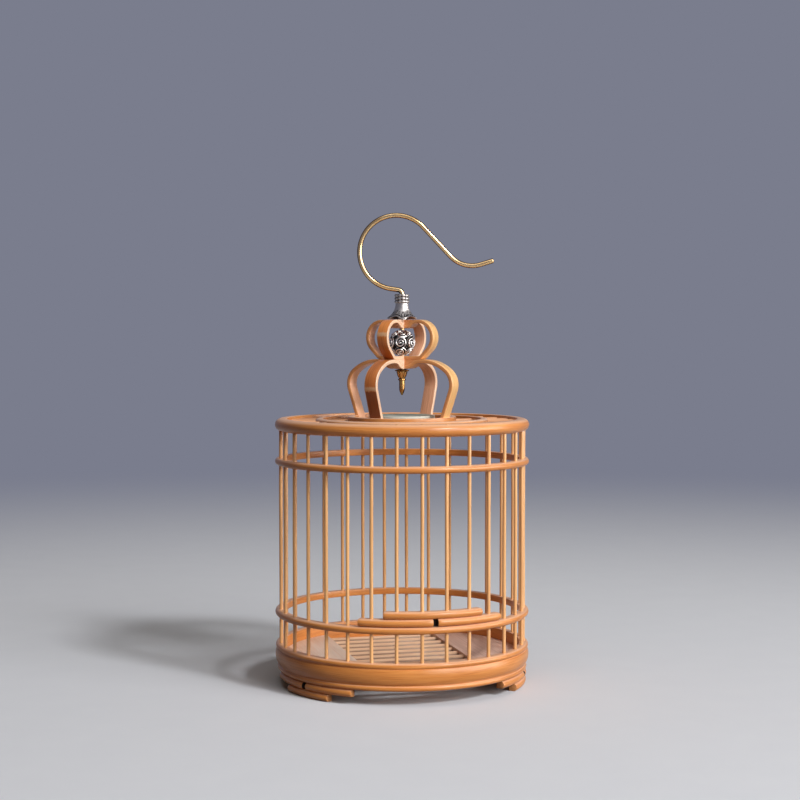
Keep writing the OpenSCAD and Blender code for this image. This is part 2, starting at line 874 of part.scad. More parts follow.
// Finial screwed on the foot of the hook: flower, cup, ring and pointed pin.
module hook_finial() {
  color(brass)
    difference() {
      union() {
        translate([0, 0, flower_z]) {
          cylinder(d = flower_core, h = flower_h);
          for (i = [0:petals - 1])
            at(i * 360 / petals, flower_core / 2)
              cylinder(d = petal_d, h = flower_h);
        }
        translate([0, 0, cup_z])
          cylinder(d1 = pin_d + pin_ring_t / 2, d2 = cup_d, h = cup_h);
        translate([0, 0, cup_z])
          rotate_extrude()
            translate([pin_d / 2 + pin_ring_t / 8, 0])
              circle(d = pin_ring_t);
        translate([0, 0, cup_z - pin_l + pin_point])
          cylinder(d = pin_d, h = pin_l - pin_point);
        translate([0, 0, cup_z - pin_l])
          cylinder(d1 = pin_d / 5, d2 = pin_d, h = pin_point);
      }
      translate([0, 0, wire_foot - seat_fit])
        cylinder(d = wire_d + 2 * seat_fit, h = flower_top - wire_foot + cut);
    }
}

base_hoop();
foot(-foot_angle);  // foot_left
foot(foot_angle);  // foot_right
foot(180);  // foot_back
lower_hoop();
upper_hoop();
top_rim();
top_middle_ring();
top_inner_ring();
top_plate();
top_outer_spokes();
top_inner_spokes();
floor_board(-1);  // floor_board_left
floor_board(1);  // floor_board_right
floor_slats();
sill_bars();
leg_strip(135, false);  // claw_leg_strip_a
leg_strip(45, true);  // claw_leg_strip_b
gourd_strip(135, false);  // claw_gourd_strip_a
gourd_strip(45, true);  // claw_gourd_strip_b
claw_waist_block();
hook();
hook_cap();
hook_finial();
bead();
door_rail_long();
door_rail_short();
for (k = [1:door_bars])
  door_bar(k);
for (k = [1:fixed_bars])
  bar(k);
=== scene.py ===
"""Looks of a flat-topped bamboo insect cage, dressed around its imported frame.

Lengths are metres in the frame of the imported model: +Z up, the door towards -Y.
"""

import logging
import math
import random
from dataclasses import dataclass, replace
from enum import Enum, IntEnum

import bmesh
import bpy
from bmesh.types import BMEdge, BMesh, BMFace, BMVert
from bpy.types import Material, NodeSocket
from mathutils import Matrix, Vector


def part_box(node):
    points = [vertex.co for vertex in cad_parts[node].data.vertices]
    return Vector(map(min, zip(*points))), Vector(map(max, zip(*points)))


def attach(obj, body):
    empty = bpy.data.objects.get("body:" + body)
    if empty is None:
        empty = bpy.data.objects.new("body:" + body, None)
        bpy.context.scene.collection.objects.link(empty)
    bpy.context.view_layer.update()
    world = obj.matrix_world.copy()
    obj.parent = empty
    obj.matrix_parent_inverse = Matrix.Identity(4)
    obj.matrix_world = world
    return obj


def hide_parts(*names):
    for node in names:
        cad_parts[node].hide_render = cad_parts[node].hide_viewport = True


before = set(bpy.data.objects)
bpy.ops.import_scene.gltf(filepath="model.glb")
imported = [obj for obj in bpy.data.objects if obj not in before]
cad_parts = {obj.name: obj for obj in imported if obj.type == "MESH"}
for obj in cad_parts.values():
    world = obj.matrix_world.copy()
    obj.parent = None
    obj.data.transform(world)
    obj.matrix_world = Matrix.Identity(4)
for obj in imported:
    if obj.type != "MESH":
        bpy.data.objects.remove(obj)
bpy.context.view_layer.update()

LOG = logging.getLogger("cage")
MM = 0.001
SEED = 87
TURN_STEPS = 192
CORNER_STEPS = 3
DIP_STEPS = 8
WELD = 0.0005 * MM
SMOOTH_A = 42
SHARP_A = 40
# Share of a slat's height over which its painted shade fades out.
PAINTED_SHADE_SHARE = 0.85
STRIP_LAYERS = ("along", "across", "lift")
STRIP_TURNS = (135, 45)
Colour = tuple[float, float, float]
Span = tuple[float, float]
Value = NodeSocket | Colour | float


def srgb(red: int, green: int, blue: int) -> Colour:
    """Turns screen values from 0 to 255 into the linear colour that a shader takes.

    Args:
        red: Screen red.
        green: Screen green.
        blue: Screen blue.

    Returns:
        The linear colour.
    """
    shares = [value / 255 for value in (red, green, blue)]
    return tuple(s / 12.92 if s <= 0.04045 else ((s + 0.055) / 1.055) ** 2.4 for s in shares)


def clamp(value: float, low: float = 0.0, high: float = 1.0) -> float:
    """Keeps a number inside a range."""
    return max(low, min(high, value))


class Grain(Enum):
    """The way in which the fibres of a bamboo piece run."""

    ROUND = "round the cage axis"
    RADIAL = "towards the cage axis"
    UPRIGHT = "along Z"
    SIDEWAYS = "along X"
    LENGTHWISE = "along Y"
    STRIP = "along a bent strip, by its own attributes"


class Side(IntEnum):
    """Material indices of a piece's faces."""

    SKIN = 0
    CUT = 1
    # Near-black painted shade for the inside of a notch.
    NOTCH_SHADE = 2


class Graph:
    """A node tree, with a method for each kind of node that the finishes use."""

    def __init__(self, tree: bpy.types.NodeTree) -> None:
        """Takes up the node tree of a material or of the world."""
        self.tree = tree

    def feed(self, socket: NodeSocket, value: Value) -> None:
        """Links a socket to another one, or sets it to a constant.

        Args:
            socket: The input socket.
            value: An output socket, a number or a colour.
        """
        if isinstance(value, NodeSocket):
            self.tree.links.new(value, socket)
        elif isinstance(value, tuple) and socket.type == "RGBA":
            socket.default_value = (*value, 1)
        else:
            socket.default_value = value

    def node(self, kind: str, feeds: dict[int | str, Value], output: int | str = 0,
             **settings: object) -> NodeSocket:
        """Adds a node.

        Args:
            kind: Its type, without the ShaderNode in front.
            feeds: What its inputs get, by number or name.
            output: The output that is wanted.
            settings: Its other settings.

        Returns:
            The output socket.
        """
        node = self.tree.nodes.new(f"ShaderNode{kind}")
        for name, setting in settings.items():
            setattr(node, name, setting)
        for key, value in feeds.items():
            self.feed(node.inputs[key], value)
        return node.outputs[output]

    def maths(self, operation: str, *values: Value) -> NodeSocket:
        """One Math node."""
        return self.node("Math", dict(enumerate(values)), operation=operation)

    def times(self, first: Value, second: Value) -> NodeSocket:
        """The product of two numbers."""
        return self.maths("MULTIPLY", first, second)

    def spread(self, value: Value, factor: float, offset: float) -> NodeSocket:
        """A number times a factor, plus an offset."""
        return self.maths("MULTIPLY_ADD", value, factor, offset)

    def step(self, value: Value, low: float, high: float) -> NodeSocket:
        """A smooth step from 0 at the low value to 1 at the high one."""
        feeds = dict(enumerate((value, low, high, 0.0, 1.0)))
        return self.node("MapRange", feeds, interpolation_type="SMOOTHSTEP")

    def mix(self, share: Value, first: Value, second: Value, blend: str = "MIX") -> NodeSocket:
        """Mixes two colours by the share of the second one."""
        return self.node("Mix", {0: share, 6: first, 7: second}, 2, data_type="RGBA", blend_type=blend)

    def ramp(self, value: Value, stops: list[tuple[float, Colour]]) -> NodeSocket:
        """A colour ramp.

        Args:
            value: Place on the ramp.
            stops: Places and their colours.

        Returns:
            The colour.
        """
        socket = self.node("ValToRGB", {0: value})
        elements = socket.node.color_ramp.elements
        while len(elements) < len(stops):
            elements.new(0.5)
        for element, (place, colour) in zip(elements, stops):
            element.position = place
            element.color = (*colour, 1)
        return socket

    def attribute(self, name: str) -> NodeSocket:
        """A number that the mesh carries."""
        return self.node("Attribute", {}, "Fac", attribute_name=name)

    def spot(self) -> NodeSocket:
        """Object coordinates as a vector."""
        return self.node("TexCoord", {}, "Object")

    def place(self) -> list[NodeSocket]:
        """Object coordinates X, Y and Z as three sockets."""
        return list(self.node("SeparateXYZ", {0: self.spot()}).node.outputs)

    def radius(self) -> NodeSocket:
        """Distance from the cage axis."""
        x, y, _ = self.place()
        return self.maths("SQRT", self.maths("ADD", self.times(x, x), self.times(y, y)))

    def normal_z(self) -> NodeSocket:
        """How far the surface faces up, from -1 to 1."""
        return self.node("SeparateXYZ", {0: self.node("NewGeometry", {}, "Normal")}, 2)

    def facing(self) -> NodeSocket:
        """0 where the surface faces the viewer, 1 at its outline."""
        return self.node("LayerWeight", {}, "Facing")

    def vector(self, *parts: Value) -> NodeSocket:
        """Three numbers as a vector socket."""
        return self.node("CombineXYZ", dict(enumerate(parts)))

    def noise(self, vector: Value, w: Value, scale: float, detail: float = 2.0, rough: float = 0.5,
              distortion: float = 0.0) -> NodeSocket:
        """Four-dimensional noise.

        Args:
            vector: The first three coordinates.
            w: The fourth coordinate.
            scale: Scale of all four.
            detail: Octaves above the first.
            rough: Strength of the finer octaves.
            distortion: How far the noise pushes its own coordinates.

        Returns:
            The noise, from 0 to 1.
        """
        feeds = {"Vector": vector, "W": w, "Scale": scale, "Detail": detail, "Roughness": rough,
                 "Distortion": distortion}
        return self.node("TexNoise", feeds, noise_dimensions="4D")

    def seen(self) -> NodeSocket:
        """Tells the rays that show a surface from those that only light one.

        Returns:
            A socket that is 1 for camera, glossy and transmission rays.
        """
        seen = self.node("LightPath", {}, "Is Camera Ray")
        rays = seen.node.outputs
        for name in ("Is Glossy Ray", "Is Transmission Ray"):
            seen = self.maths("MAXIMUM", seen, rays[name])
        return seen


class Surface(Graph):
    """A new material with a principled shader."""

    def __init__(self, name: str) -> None:
        """Starts the material.

        Args:
            name: Its name.
        """
        self.material = bpy.data.materials.new(name)
        self.material.use_nodes = True
        super().__init__(self.material.node_tree)
        self.tree.nodes.clear()
        self.shader = self.tree.nodes.new("ShaderNodeBsdfPrincipled")
        output = self.tree.nodes.new("ShaderNodeOutputMaterial")
        self.tree.links.new(self.shader.outputs["BSDF"], output.inputs["Surface"])

    def set(self, **values: Value) -> None:
        """Feeds the shader's sockets, named with underscores for spaces."""
        for name, value in values.items():
            self.feed(self.shader.inputs[name.replace("_", " ")], value)

    def bump(self, height: Value, distance: float, strength: float) -> None:
        """Gives the shader a normal that is bumped by a height from 0 to 1."""
        self.set(Normal=self.node("Bump", {"Height": height, "Distance": distance, "Strength": strength}))


@dataclass(frozen=True)
class Finish:
    """A procedural finish, which makes one material."""

    name: str

    def paint(self, graph: Surface) -> None:
        """Sets the shader's sockets; every finish has its own way."""
        raise NotImplementedError

    def material(self) -> Material:
        """Makes the material.

        Returns:
            The material.
        """
        graph = Surface(self.name)
        self.paint(graph)
        return graph.material


@dataclass(frozen=True)
class Bamboo(Finish):
    """Polished bamboo with fine parallel fibres."""

    grain: Grain
    pale: Colour = srgb(236, 164, 92)
    amber: Colour = srgb(224, 146, 76)
    brown: Colour = srgb(202, 120, 56)
    tone_stops: tuple[float, float, float] = (0.26, 0.5, 0.76)
    fibre: float = 0.22 * MM
    reach: float = 9 * MM
    cloud_w: float = 14
    cloud_l: float = 2.2
    cloud_share: float = 0.85
    cloud_stops: Span = (0.3, 0.7)
    cloud_dark: Colour = (0.84, 0.8, 0.76)
    cloud_light: Colour = (1.06, 1.05, 1.04)
    gloss: float = 0.25
    gloss_spread: float = 0.18
    shine: float = 0.36
    coat: float = 0.12
    coat_rough: float = 0.16
    relief: float = 0.012 * MM
    relief_share: float = 0.6
    # Paler colour for faces that look up, its share, and the normal Z over which it sets in.
    top: Colour = srgb(248, 204, 170)
    top_share: float = 0.0
    top_step: Span = (0.45, 0.9)
    # Painted shade towards the bottom of a piece: its colour, the height where it is full and the height over
    # which it fades.
    painted_shade: Colour = srgb(92, 50, 24)
    painted_shade_z: float = 0.0
    painted_shade_h: float = 0.0

    def course(self, graph: Graph, across: float, along: float) -> tuple[NodeSocket, Value]:
        """Noise coordinates that are stretched along the fibres.

        Args:
            graph: The material's graph.
            across: Size of the pattern across the fibres.
            along: Size of the pattern along the fibres.

        Returns:
            The first three coordinates and the fourth.
        """
        fine, long = 1 / across, 1 / along

        def scaled(sockets: list[NodeSocket], factors: tuple[float, ...]) -> NodeSocket:
            """Three coordinates in pattern sizes."""
            return graph.vector(*(graph.times(*pair) for pair in zip(sockets, factors)))

        if self.grain is Grain.STRIP:
            return scaled([graph.attribute(name) for name in STRIP_LAYERS], (long, fine, fine)), 0.0
        x, y, z = graph.place()
        if self.grain in (Grain.ROUND, Grain.RADIAL):
            around, outwards = (fine, long) if self.grain is Grain.RADIAL else (long, fine)
            radius = graph.radius()
            cosine, sine = graph.maths("DIVIDE", x, radius), graph.maths("DIVIDE", y, radius)
            turn = HOOP_REACH * around
            return scaled([cosine, sine, z], (turn, turn, fine)), graph.times(radius, outwards)
        ways = (Grain.SIDEWAYS, Grain.LENGTHWISE, Grain.UPRIGHT)
        return scaled([x, y, z], tuple(long if self.grain is way else fine for way in ways)), 0.0

    def colour(self, graph: Graph) -> tuple[NodeSocket, NodeSocket]:
        """The colour of the fibres and the height of their relief.

        Args:
            graph: The material's graph.

        Returns:
            The colour and the fibre noise.
        """
        fibres = graph.noise(*self.course(graph, self.fibre, self.reach), 1.0, 3.0, 0.6)
        clouds = graph.noise(*self.course(graph, self.cloud_w * self.fibre, self.cloud_l * self.reach), 1.0)
        body = graph.ramp(fibres, list(zip(self.tone_stops, (self.brown, self.amber, self.pale))))
        shade = graph.ramp(clouds, list(zip(self.cloud_stops, (self.cloud_dark, self.cloud_light))))
        body = graph.mix(self.cloud_share, body, shade, "MULTIPLY")
        # Paler colour on faces that look up, picked by the surface normal.
        if self.top_share:
            upward_share = graph.times(graph.step(graph.normal_z(), *self.top_step), self.top_share)
            body = graph.mix(upward_share, body, self.top)
        # Painted shade: the colour runs into dark brown towards the bottom of the piece, standing in for the
        # shade under and between the slats.
        if self.painted_shade_h:
            clear_of_shade = graph.step(graph.place()[2], self.painted_shade_z, self.painted_shade_z + self.painted_shade_h)
            body = graph.mix(clear_of_shade, self.painted_shade, body)
        return body, fibres

    def paint(self, graph: Surface) -> None:
        """Sets colour, gloss, clear coat and relief.

        Args:
            graph: The material's graph.
        """
        colour, fibres = self.colour(graph)
        graph.set(Base_Color=colour, Roughness=graph.spread(fibres, self.gloss_spread, self.gloss),
                  Coat_Weight=self.coat, Coat_Roughness=self.coat_rough, Specular_IOR_Level=self.shine)
        graph.bump(fibres, self.relief, self.relief_share)


@dataclass(frozen=True)
class CutBamboo(Bamboo):
    """Sawn bamboo with the dark dots of its fibre bundles."""

    dot: float = 0.28 * MM
    dot_step: Span = (0.18, 0.42)

    def colour(self, graph: Graph) -> tuple[NodeSocket, NodeSocket]:
        """Pale ground with dark dots.

        Args:
            graph: The material's graph.

        Returns:
            The colour and the dots.
        """
        cells = graph.node("TexVoronoi", {"Vector": graph.spot(), "Scale": 1 / self.dot}, "Distance")
        dots = graph.step(cells, *self.dot_step)
        return graph.mix(dots, self.brown, self.pale), dots


@dataclass(frozen=True)
class StripSkin(Bamboo):
    """Bent bamboo strip: skin outside with a node, fibrous flesh inside, pale sawn edges."""

    width: float = 4.5 * MM
    thickness: float = 1.2 * MM
    skin_lift: Span = (0.1, 0.4)
    edge_reach: Span = (0.43, 0.485)
    flesh: Colour = srgb(234, 180, 146)
    flesh_step: Span = (0.35, 0.62)
    flesh_streak: float = 0.45
    edge: Colour = srgb(246, 212, 182)
    edge_step: Span = (0.36, 0.56)
    edge_streak: float = 0.4
    bloom: Colour = srgb(226, 190, 152)
    bloom_rise: Span = (-1.1 * MM, -0.5 * MM)
    bloom_fall: Span = (0.2 * MM, 0.6 * MM)
    dark: Colour = srgb(112, 52, 18)
    dark_step: Span = (0.3 * MM, 0.9 * MM)
    node_at: float = 0.0
    node_wander: float = 1.2 * MM
    wander_w: float = 3
    wander_l: float = 0.4
    node_darkens: float = 0.0
    node_bloom: float = 0.7

    def colour(self, graph: Graph) -> tuple[NodeSocket, NodeSocket]:
        """Colour by the side of the strip and the distance along it.

        Args:
            graph: The material's graph.

        Returns:
            The colour and the fibre noise.
        """
        skin, fibres = Bamboo.colour(self, graph)
        along, across, lift = (graph.attribute(name) for name in STRIP_LAYERS)

        def streaked(tone: Colour, streak: Colour, share: float, span: Span) -> NodeSocket:
            """A tone with a share of darker streaks along the fibres."""
            return graph.mix(graph.step(fibres, *span), graph.mix(share, tone, streak), tone)

        wander = graph.noise(*self.course(graph, self.wander_w * self.fibre, self.wander_l * self.reach), 1.0)
        spot = graph.maths("ADD", along, graph.spread(wander, self.node_wander, -self.node_wander / 2))
        past = graph.times(graph.maths("SUBTRACT", spot, self.node_at), math.copysign(1, self.node_at))
        below = graph.times(graph.step(past, *self.dark_step), self.node_darkens)
        skin = graph.mix(below, skin, graph.mix(fibres, self.dark, self.brown))
        band = graph.maths("SUBTRACT", graph.step(past, *self.bloom_rise), graph.step(past, *self.bloom_fall))
        skin = graph.mix(graph.times(band, self.node_bloom), skin, self.bloom)
        flesh = streaked(self.flesh, self.brown, self.flesh_streak, self.flesh_step)
        outside = graph.step(lift, *(share * self.thickness for share in self.skin_lift))
        colour = graph.mix(outside, flesh, skin)
        sawn = streaked(self.edge, self.amber, self.edge_streak, self.edge_step)
        side = graph.step(graph.maths("ABSOLUTE", across), *(share * self.width for share in self.edge_reach))
        return graph.mix(side, colour, sawn), fibres


@dataclass(frozen=True)
class Brass(Finish):
    """Brass wire and turned brass with a thin brown patina."""

    bright: Colour = srgb(250, 214, 158)
    brown: Colour = srgb(232, 186, 124)
    # Painted shade at the outline: its colour, and the facing values where it starts and where it is full.
    outline: Colour = srgb(72, 40, 18)
    outline_step: Span = (0.06, 0.5)
    cloud_scale: float = 160
    cloud_stops: Span = (0.3, 0.66)
    mark_scale: float = 1500
    gloss: float = 0.24
    gloss_spread: float = 0.03

    def paint(self, graph: Surface) -> None:
        """Clouds of patina, and painted shade that darkens the metal towards its outline.

        Args:
            graph: The material's graph.
        """
        clouds = graph.noise(graph.spot(), 0.0, self.cloud_scale, 3.0)
        marks = graph.noise(graph.spot(), 3.0, self.mark_scale)
        colour = graph.ramp(clouds, list(zip(self.cloud_stops, (self.brown, self.bright))))
        # Painted shade: the metal darkens towards its outline by the angle to the view, standing in for the
        # dark sides that round metal reflects.
        colour = graph.mix(graph.step(graph.facing(), *self.outline_step), colour, self.outline)
        graph.set(Base_Color=colour, Metallic=1.0,
                  Roughness=graph.spread(marks, self.gloss_spread, self.gloss))


@dataclass(frozen=True)
class AntiqueSilver(Finish):
    """Cast silver alloy, blackened in its recesses and rubbed bright on its relief."""

    bright: Colour = srgb(184, 178, 175)
    black: Colour = srgb(32, 30, 28)
    rub: float = -0.18
    rough: float = 0.6
    stain: float = 0.5
    stain_scale: float = 900
    raised_step: Span = (0.25, 0.75)
    pits: float = 0.01 * MM
    pit_share: float = 0.4

    def paint(self, graph: Surface) -> None:
        """Black below, bright above, by the relief that the mesh carries.

        Args:
            graph: The material's graph.
        """
        stain = graph.noise(graph.spot(), 0.0, self.stain_scale, 3.0, 0.6)
        blot = graph.spread(stain, self.stain, -self.stain / 2)
        height = graph.maths("ADD", graph.attribute("relief"), blot)
        raised = graph.step(height, *self.raised_step)
        graph.set(Base_Color=graph.mix(raised, self.black, self.bright), Metallic=1.0,
                  Roughness=graph.spread(raised, self.rub, self.rough))
        graph.bump(stain, self.pits, self.pit_share)


@dataclass(frozen=True)
class PolishedPlate(Finish):
    """Grey-green veined disc with a pale ground edge."""

    ground: Colour = srgb(186, 192, 178)
    vein: Colour = srgb(150, 158, 144)
    edge: Colour = srgb(224, 216, 204)
    vein_scale: float = 420
    vein_stops: Span = (0.38, 0.6)
    edge_r: float = 10.2 * MM
    edge_blur: float = 0.1 * MM
    gloss: float = 0.4
    gloss_spread: float = 0.2
    shine: float = 0.3

    def paint(self, graph: Surface) -> None:
        """Veins inside, the ground edge outside.

        Args:
            graph: The material's graph.
        """
        veins = graph.noise(graph.spot(), 0.0, self.vein_scale, 5.0, 0.65, 1.4)
        top = graph.ramp(veins, list(zip(self.vein_stops, (self.vein, self.ground))))
        rim = graph.mix(veins, self.edge, self.ground)
        outer = graph.step(graph.radius(), self.edge_r - self.edge_blur, self.edge_r + self.edge_blur)
        graph.set(Base_Color=graph.mix(outer, top, rim), Specular_IOR_Level=self.shine,
                  Roughness=graph.spread(veins, self.gloss_spread, self.gloss))


@dataclass(frozen=True)
class StudioFloor(Finish):
    """Plain pale floor with a faint mottle, which runs into the backdrop far from the object."""

    backdrop: Colour
    tone: Colour = srgb(226, 229, 236)
    shade: Colour = srgb(221, 224, 232)
    bounce: Colour = srgb(112, 98, 84)
    mottle_scale: float = 60
    near: float = 0.16
    far: float = 0.9
    rough: float = 0.85

    def paint(self, graph: Surface) -> None:
        """The pale tone for rays that show the floor, the bounce for those that light the cage.

        Args:
            graph: The material's graph.
        """
        mottle = graph.noise(graph.spot(), 0.0, self.mottle_scale, 4.0)
        seen = graph.seen()
        away = graph.times(graph.step(graph.radius(), self.near, self.far), seen)
        tone = graph.mix(seen, self.bounce, graph.mix(mottle, self.shade, self.tone))
        graph.set(Base_Color=graph.mix(away, tone, (0.0, 0.0, 0.0)), Roughness=self.rough,
                  Specular_IOR_Level=0.0, Emission_Color=self.backdrop, Emission_Strength=away)


def turned(degrees: float, axis: str = "Z") -> Matrix:
    """A turn about an axis through the origin."""
    return Matrix.Rotation(math.radians(degrees), 4, axis)


def move(bm: BMesh, matrix: Matrix) -> None:
    """Moves a whole mesh."""
    bmesh.ops.transform(bm, matrix=matrix, verts=bm.verts[:])


def outward(bm: BMesh) -> None:
    """Makes every face look outwards."""
    bmesh.ops.recalc_face_normals(bm, faces=bm.faces[:])


def ease(bm: BMesh, geom: list, width: float, segments: int = 2, affect: str = "EDGES") -> None:
    """Rounds edges or corners over.

    Args:
        bm: The mesh.
        geom: The edges or corners.
        width: Width of the rounding.
        segments: Its steps.
        affect: EDGES or VERTICES.
    """
    bmesh.ops.bevel(bm, geom=geom, offset=width, offset_type="OFFSET", segments=segments, profile=0.5,
                    affect=affect, clamp_overlap=True, material=-1)


def sharp_edges(bm: BMesh) -> list[BMEdge]:
    """Edges whose two faces meet at more than the sharp angle."""
    limit = math.radians(SHARP_A)
    return [edge for edge in bm.edges if len(edge.link_faces) == 2 and edge.calc_face_angle() > limit]


def thicken(bm: BMesh, faces: list[BMFace], way: tuple[float, float, float]) -> None:
    """Extrudes faces to a solid.

    Args:
        bm: The mesh.
        faces: The faces.
        way: Direction and length of the extrusion.
    """
    made = bmesh.ops.extrude_face_region(bm, geom=faces, use_keep_orig=True)["geom"]
    bmesh.ops.translate(bm, verts=[item for item in made if isinstance(item, BMVert)], vec=way)
    outward(bm)


def revolve(bm: BMesh) -> None:
    """Turns the drawn edges once round the Z axis.

    Args:
        bm: The mesh that holds the section.
    """
    bmesh.ops.delete(bm, geom=bm.faces[:], context="FACES_ONLY")
    bmesh.ops.spin(bm, geom=bm.verts[:] + bm.edges[:], cent=(0, 0, 0), axis=(0, 0, 1), dvec=(0, 0, 0),
                   angle=2 * math.pi, steps=TURN_STEPS, use_merge=True, use_duplicate=False)
    bmesh.ops.remove_doubles(bm, verts=bm.verts[:], dist=WELD)
    outward(bm)


def merge_in(bm: BMesh, part: BMesh) -> None:
    """Adds the faces of one mesh to another.

    Args:
        bm: The mesh that takes them.
        part: The mesh that gives them, which is freed.
    """
    mesh = bpy.data.meshes.new("part")
    part.to_mesh(mesh)
    part.free()
    bm.from_mesh(mesh)
    bpy.data.meshes.remove(mesh)


class Pen:
    """Draws a section in the XZ plane from one vertex, with lines and arcs."""

    def __init__(self, bm: BMesh, x: float, z: float) -> None:
        """Starts a section in a mesh, at a distance from the Z axis and a height."""
        self.bm = bm
        self.vert = bm.verts.new((x, 0, z))

    def line(self, *points: tuple[float, float]) -> None:
        """Draws straight edges.

        Args:
            points: X and Z of each next point.
        """
        for x, z in points:
            self.vert = bmesh.ops.extrude_vert_indiv(self.bm, verts=[self.vert])["verts"][0]
            self.vert.co = (x, 0, z)

    def arc(self, x: float, z: float, degrees: float, steps: int) -> None:
        """Draws an arc.

        Args:
            x: X of its centre.
            z: Z of its centre.
            degrees: Its angle; a positive one turns left with X right and Z up.
            steps: Number of its edges.
        """
        made = bmesh.ops.spin(self.bm, geom=[self.vert], cent=(x, 0, z), axis=(0, -1, 0), dvec=(0, 0, 0),
                              angle=math.radians(degrees), steps=steps, use_duplicate=False)
        self.vert = next(item for item in made["geom_last"] if isinstance(item, BMVert))

    def close(self) -> BMFace:
        """Joins the last point to the first and fills the section."""
        bmesh.ops.remove_doubles(self.bm, verts=self.bm.verts[:], dist=2 * WELD)
        return bmesh.ops.contextual_create(self.bm, geom=self.bm.edges[:])["faces"][0]


class Sweep:
    """Carries a section along straight runs and bends that lie in the XZ plane.

    The mesh keeps three numbers per vertex: the distance along the path, across the strip, and above
    its middle.
    """

    def __init__(self, bm: BMesh, face: BMFace, start: Span, heading: float) -> None:
        """Starts with a section that lies in the YZ plane at the origin.

        Args:
            bm: The mesh.
            face: The section.
            start: X and Z of the start of the path.
            heading: Angle of the path's start above +X, in degrees.
        """
        self.bm = bm
        self.layers = {name: bm.verts.layers.float.new(name) for name in STRIP_LAYERS}
        for vert in bm.verts:
            vert[self.layers["across"]] = vert.co.y
            vert[self.layers["lift"]] = vert.co.z
        move(bm, Matrix.Translation((start[0], 0, start[1])) @ turned(-heading, "Y"))
        self.edges = list(face.edges)
        self.x, self.z = start
        self.heading = math.radians(heading)
        self.along = 0.0
        self.stations = [(0.0, self.z)]

    def advance(self, matrix: Matrix, length: float) -> None:
        """Extrudes the section once.

        Args:
            matrix: The move of the new section.
            length: Length of the step along the path.
        """
        made = bmesh.ops.extrude_edge_only(self.bm, edges=self.edges)["geom"]
        fresh = [item for item in made if isinstance(item, BMVert)]
        known = set(fresh)
        edges = [item for item in made if isinstance(item, BMEdge)]
        self.edges = [edge for edge in edges if all(vert in known for vert in edge.verts)]
        bmesh.ops.transform(self.bm, matrix=matrix, verts=fresh)
        self.along += length
        for vert in fresh:
            vert[self.layers["along"]] = self.along
        spot = matrix @ Vector((self.x, 0, self.z))
        self.x, self.z = spot.x, spot.z
        self.stations.append((self.along, self.z))

    def run(self, length: float, steps: int = 1) -> None:
        """Goes straight on.

        Args:
            length: Length of the run.
            steps: Number of equal steps.
        """
        piece = length / steps
        way = Vector((math.cos(self.heading), 0, math.sin(self.heading))) * piece
        for _ in range(steps):
            self.advance(Matrix.Translation(way), piece)

    def bend(self, radius: float, degrees: float, steps: int) -> None:
        """Goes round a bend.

        Args:
            radius: Radius of the bend.
            degrees: Its angle, positive to the left and negative to the right.
            steps: Number of equal steps.
        """
        side = math.copysign(1, degrees)
        angle = math.radians(degrees) / steps
        centre = Vector((self.x - side * radius * math.sin(self.heading), 0,
                         self.z + side * radius * math.cos(self.heading)))
        turn = Matrix.Translation(centre) @ Matrix.Rotation(-angle, 4, "Y") @ Matrix.Translation(-centre)
        for _ in range(steps):
            self.advance(turn, radius * abs(angle))
            self.heading += angle

    def cap(self) -> BMFace:
        """Closes the end of the path."""
        return bmesh.ops.contextual_create(self.bm, geom=self.edges)["faces"][0]

    def along_at(self, z: float) -> float:
        """Distance along the path where its outer half passes a height on the way down."""
        pairs = zip(self.stations, self.stations[1:])
        return max(a[0] + (b[0] - a[0]) * (a[1] - z) / (a[1] - b[1]) for a, b in pairs if a[1] >= z > b[1])


@dataclass(frozen=True)
class Place:
    """What a piece rides on and stands for, with the name of its slot."""

    name: str
    nodes: tuple[str, ...]
    slot: str
    body: str = "cage"


def finish_piece(bm: BMesh, place: Place, *materials: Material) -> None:
    """Makes a bmesh an object at the origin that rides on its body.

    Args:
        bm: The finished mesh, which is freed.
        place: Name, body, slot and nodes of the piece.
        materials: Its materials, in the order of the faces' indices.
    """
    mesh = bpy.data.meshes.new(place.name)
    bm.to_mesh(mesh)
    bm.free()
    mesh.shade_smooth()
    mesh.set_sharp_from_angle(angle=math.radians(SMOOTH_A))
    for material in materials:
        mesh.materials.append(material)
    piece = bpy.data.objects.new(place.name, mesh)
    bpy.context.scene.collection.objects.link(piece)
    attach(piece, place.body)
    if place.nodes:
        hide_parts(*place.nodes)
    LOG.info("%s: %d faces for %s", place.name, len(mesh.polygons), ", ".join(place.nodes) or "no node")


@dataclass(frozen=True)
class RoundSize:
    """Radii and heights of a round CAD node."""

    inner: float
    outer: float
    low: float
    high: float

    @classmethod
    def of(cls, node: str) -> "RoundSize":
        """Measures a node of the frame by its vertices.

        Args:
            node: The CAD node.

        Returns:
            Its radii and heights.
        """
        points = [vert.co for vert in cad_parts[node].data.vertices]
        radii = [math.hypot(point.x, point.y) for point in points]
        heights = [point.z for point in points]
        return cls(min(radii), max(radii), min(heights), max(heights))

    @property
    def height(self) -> float:
        """Height of the node."""
        return self.high - self.low


HOOP_REACH = RoundSize.of("top_rim").outer


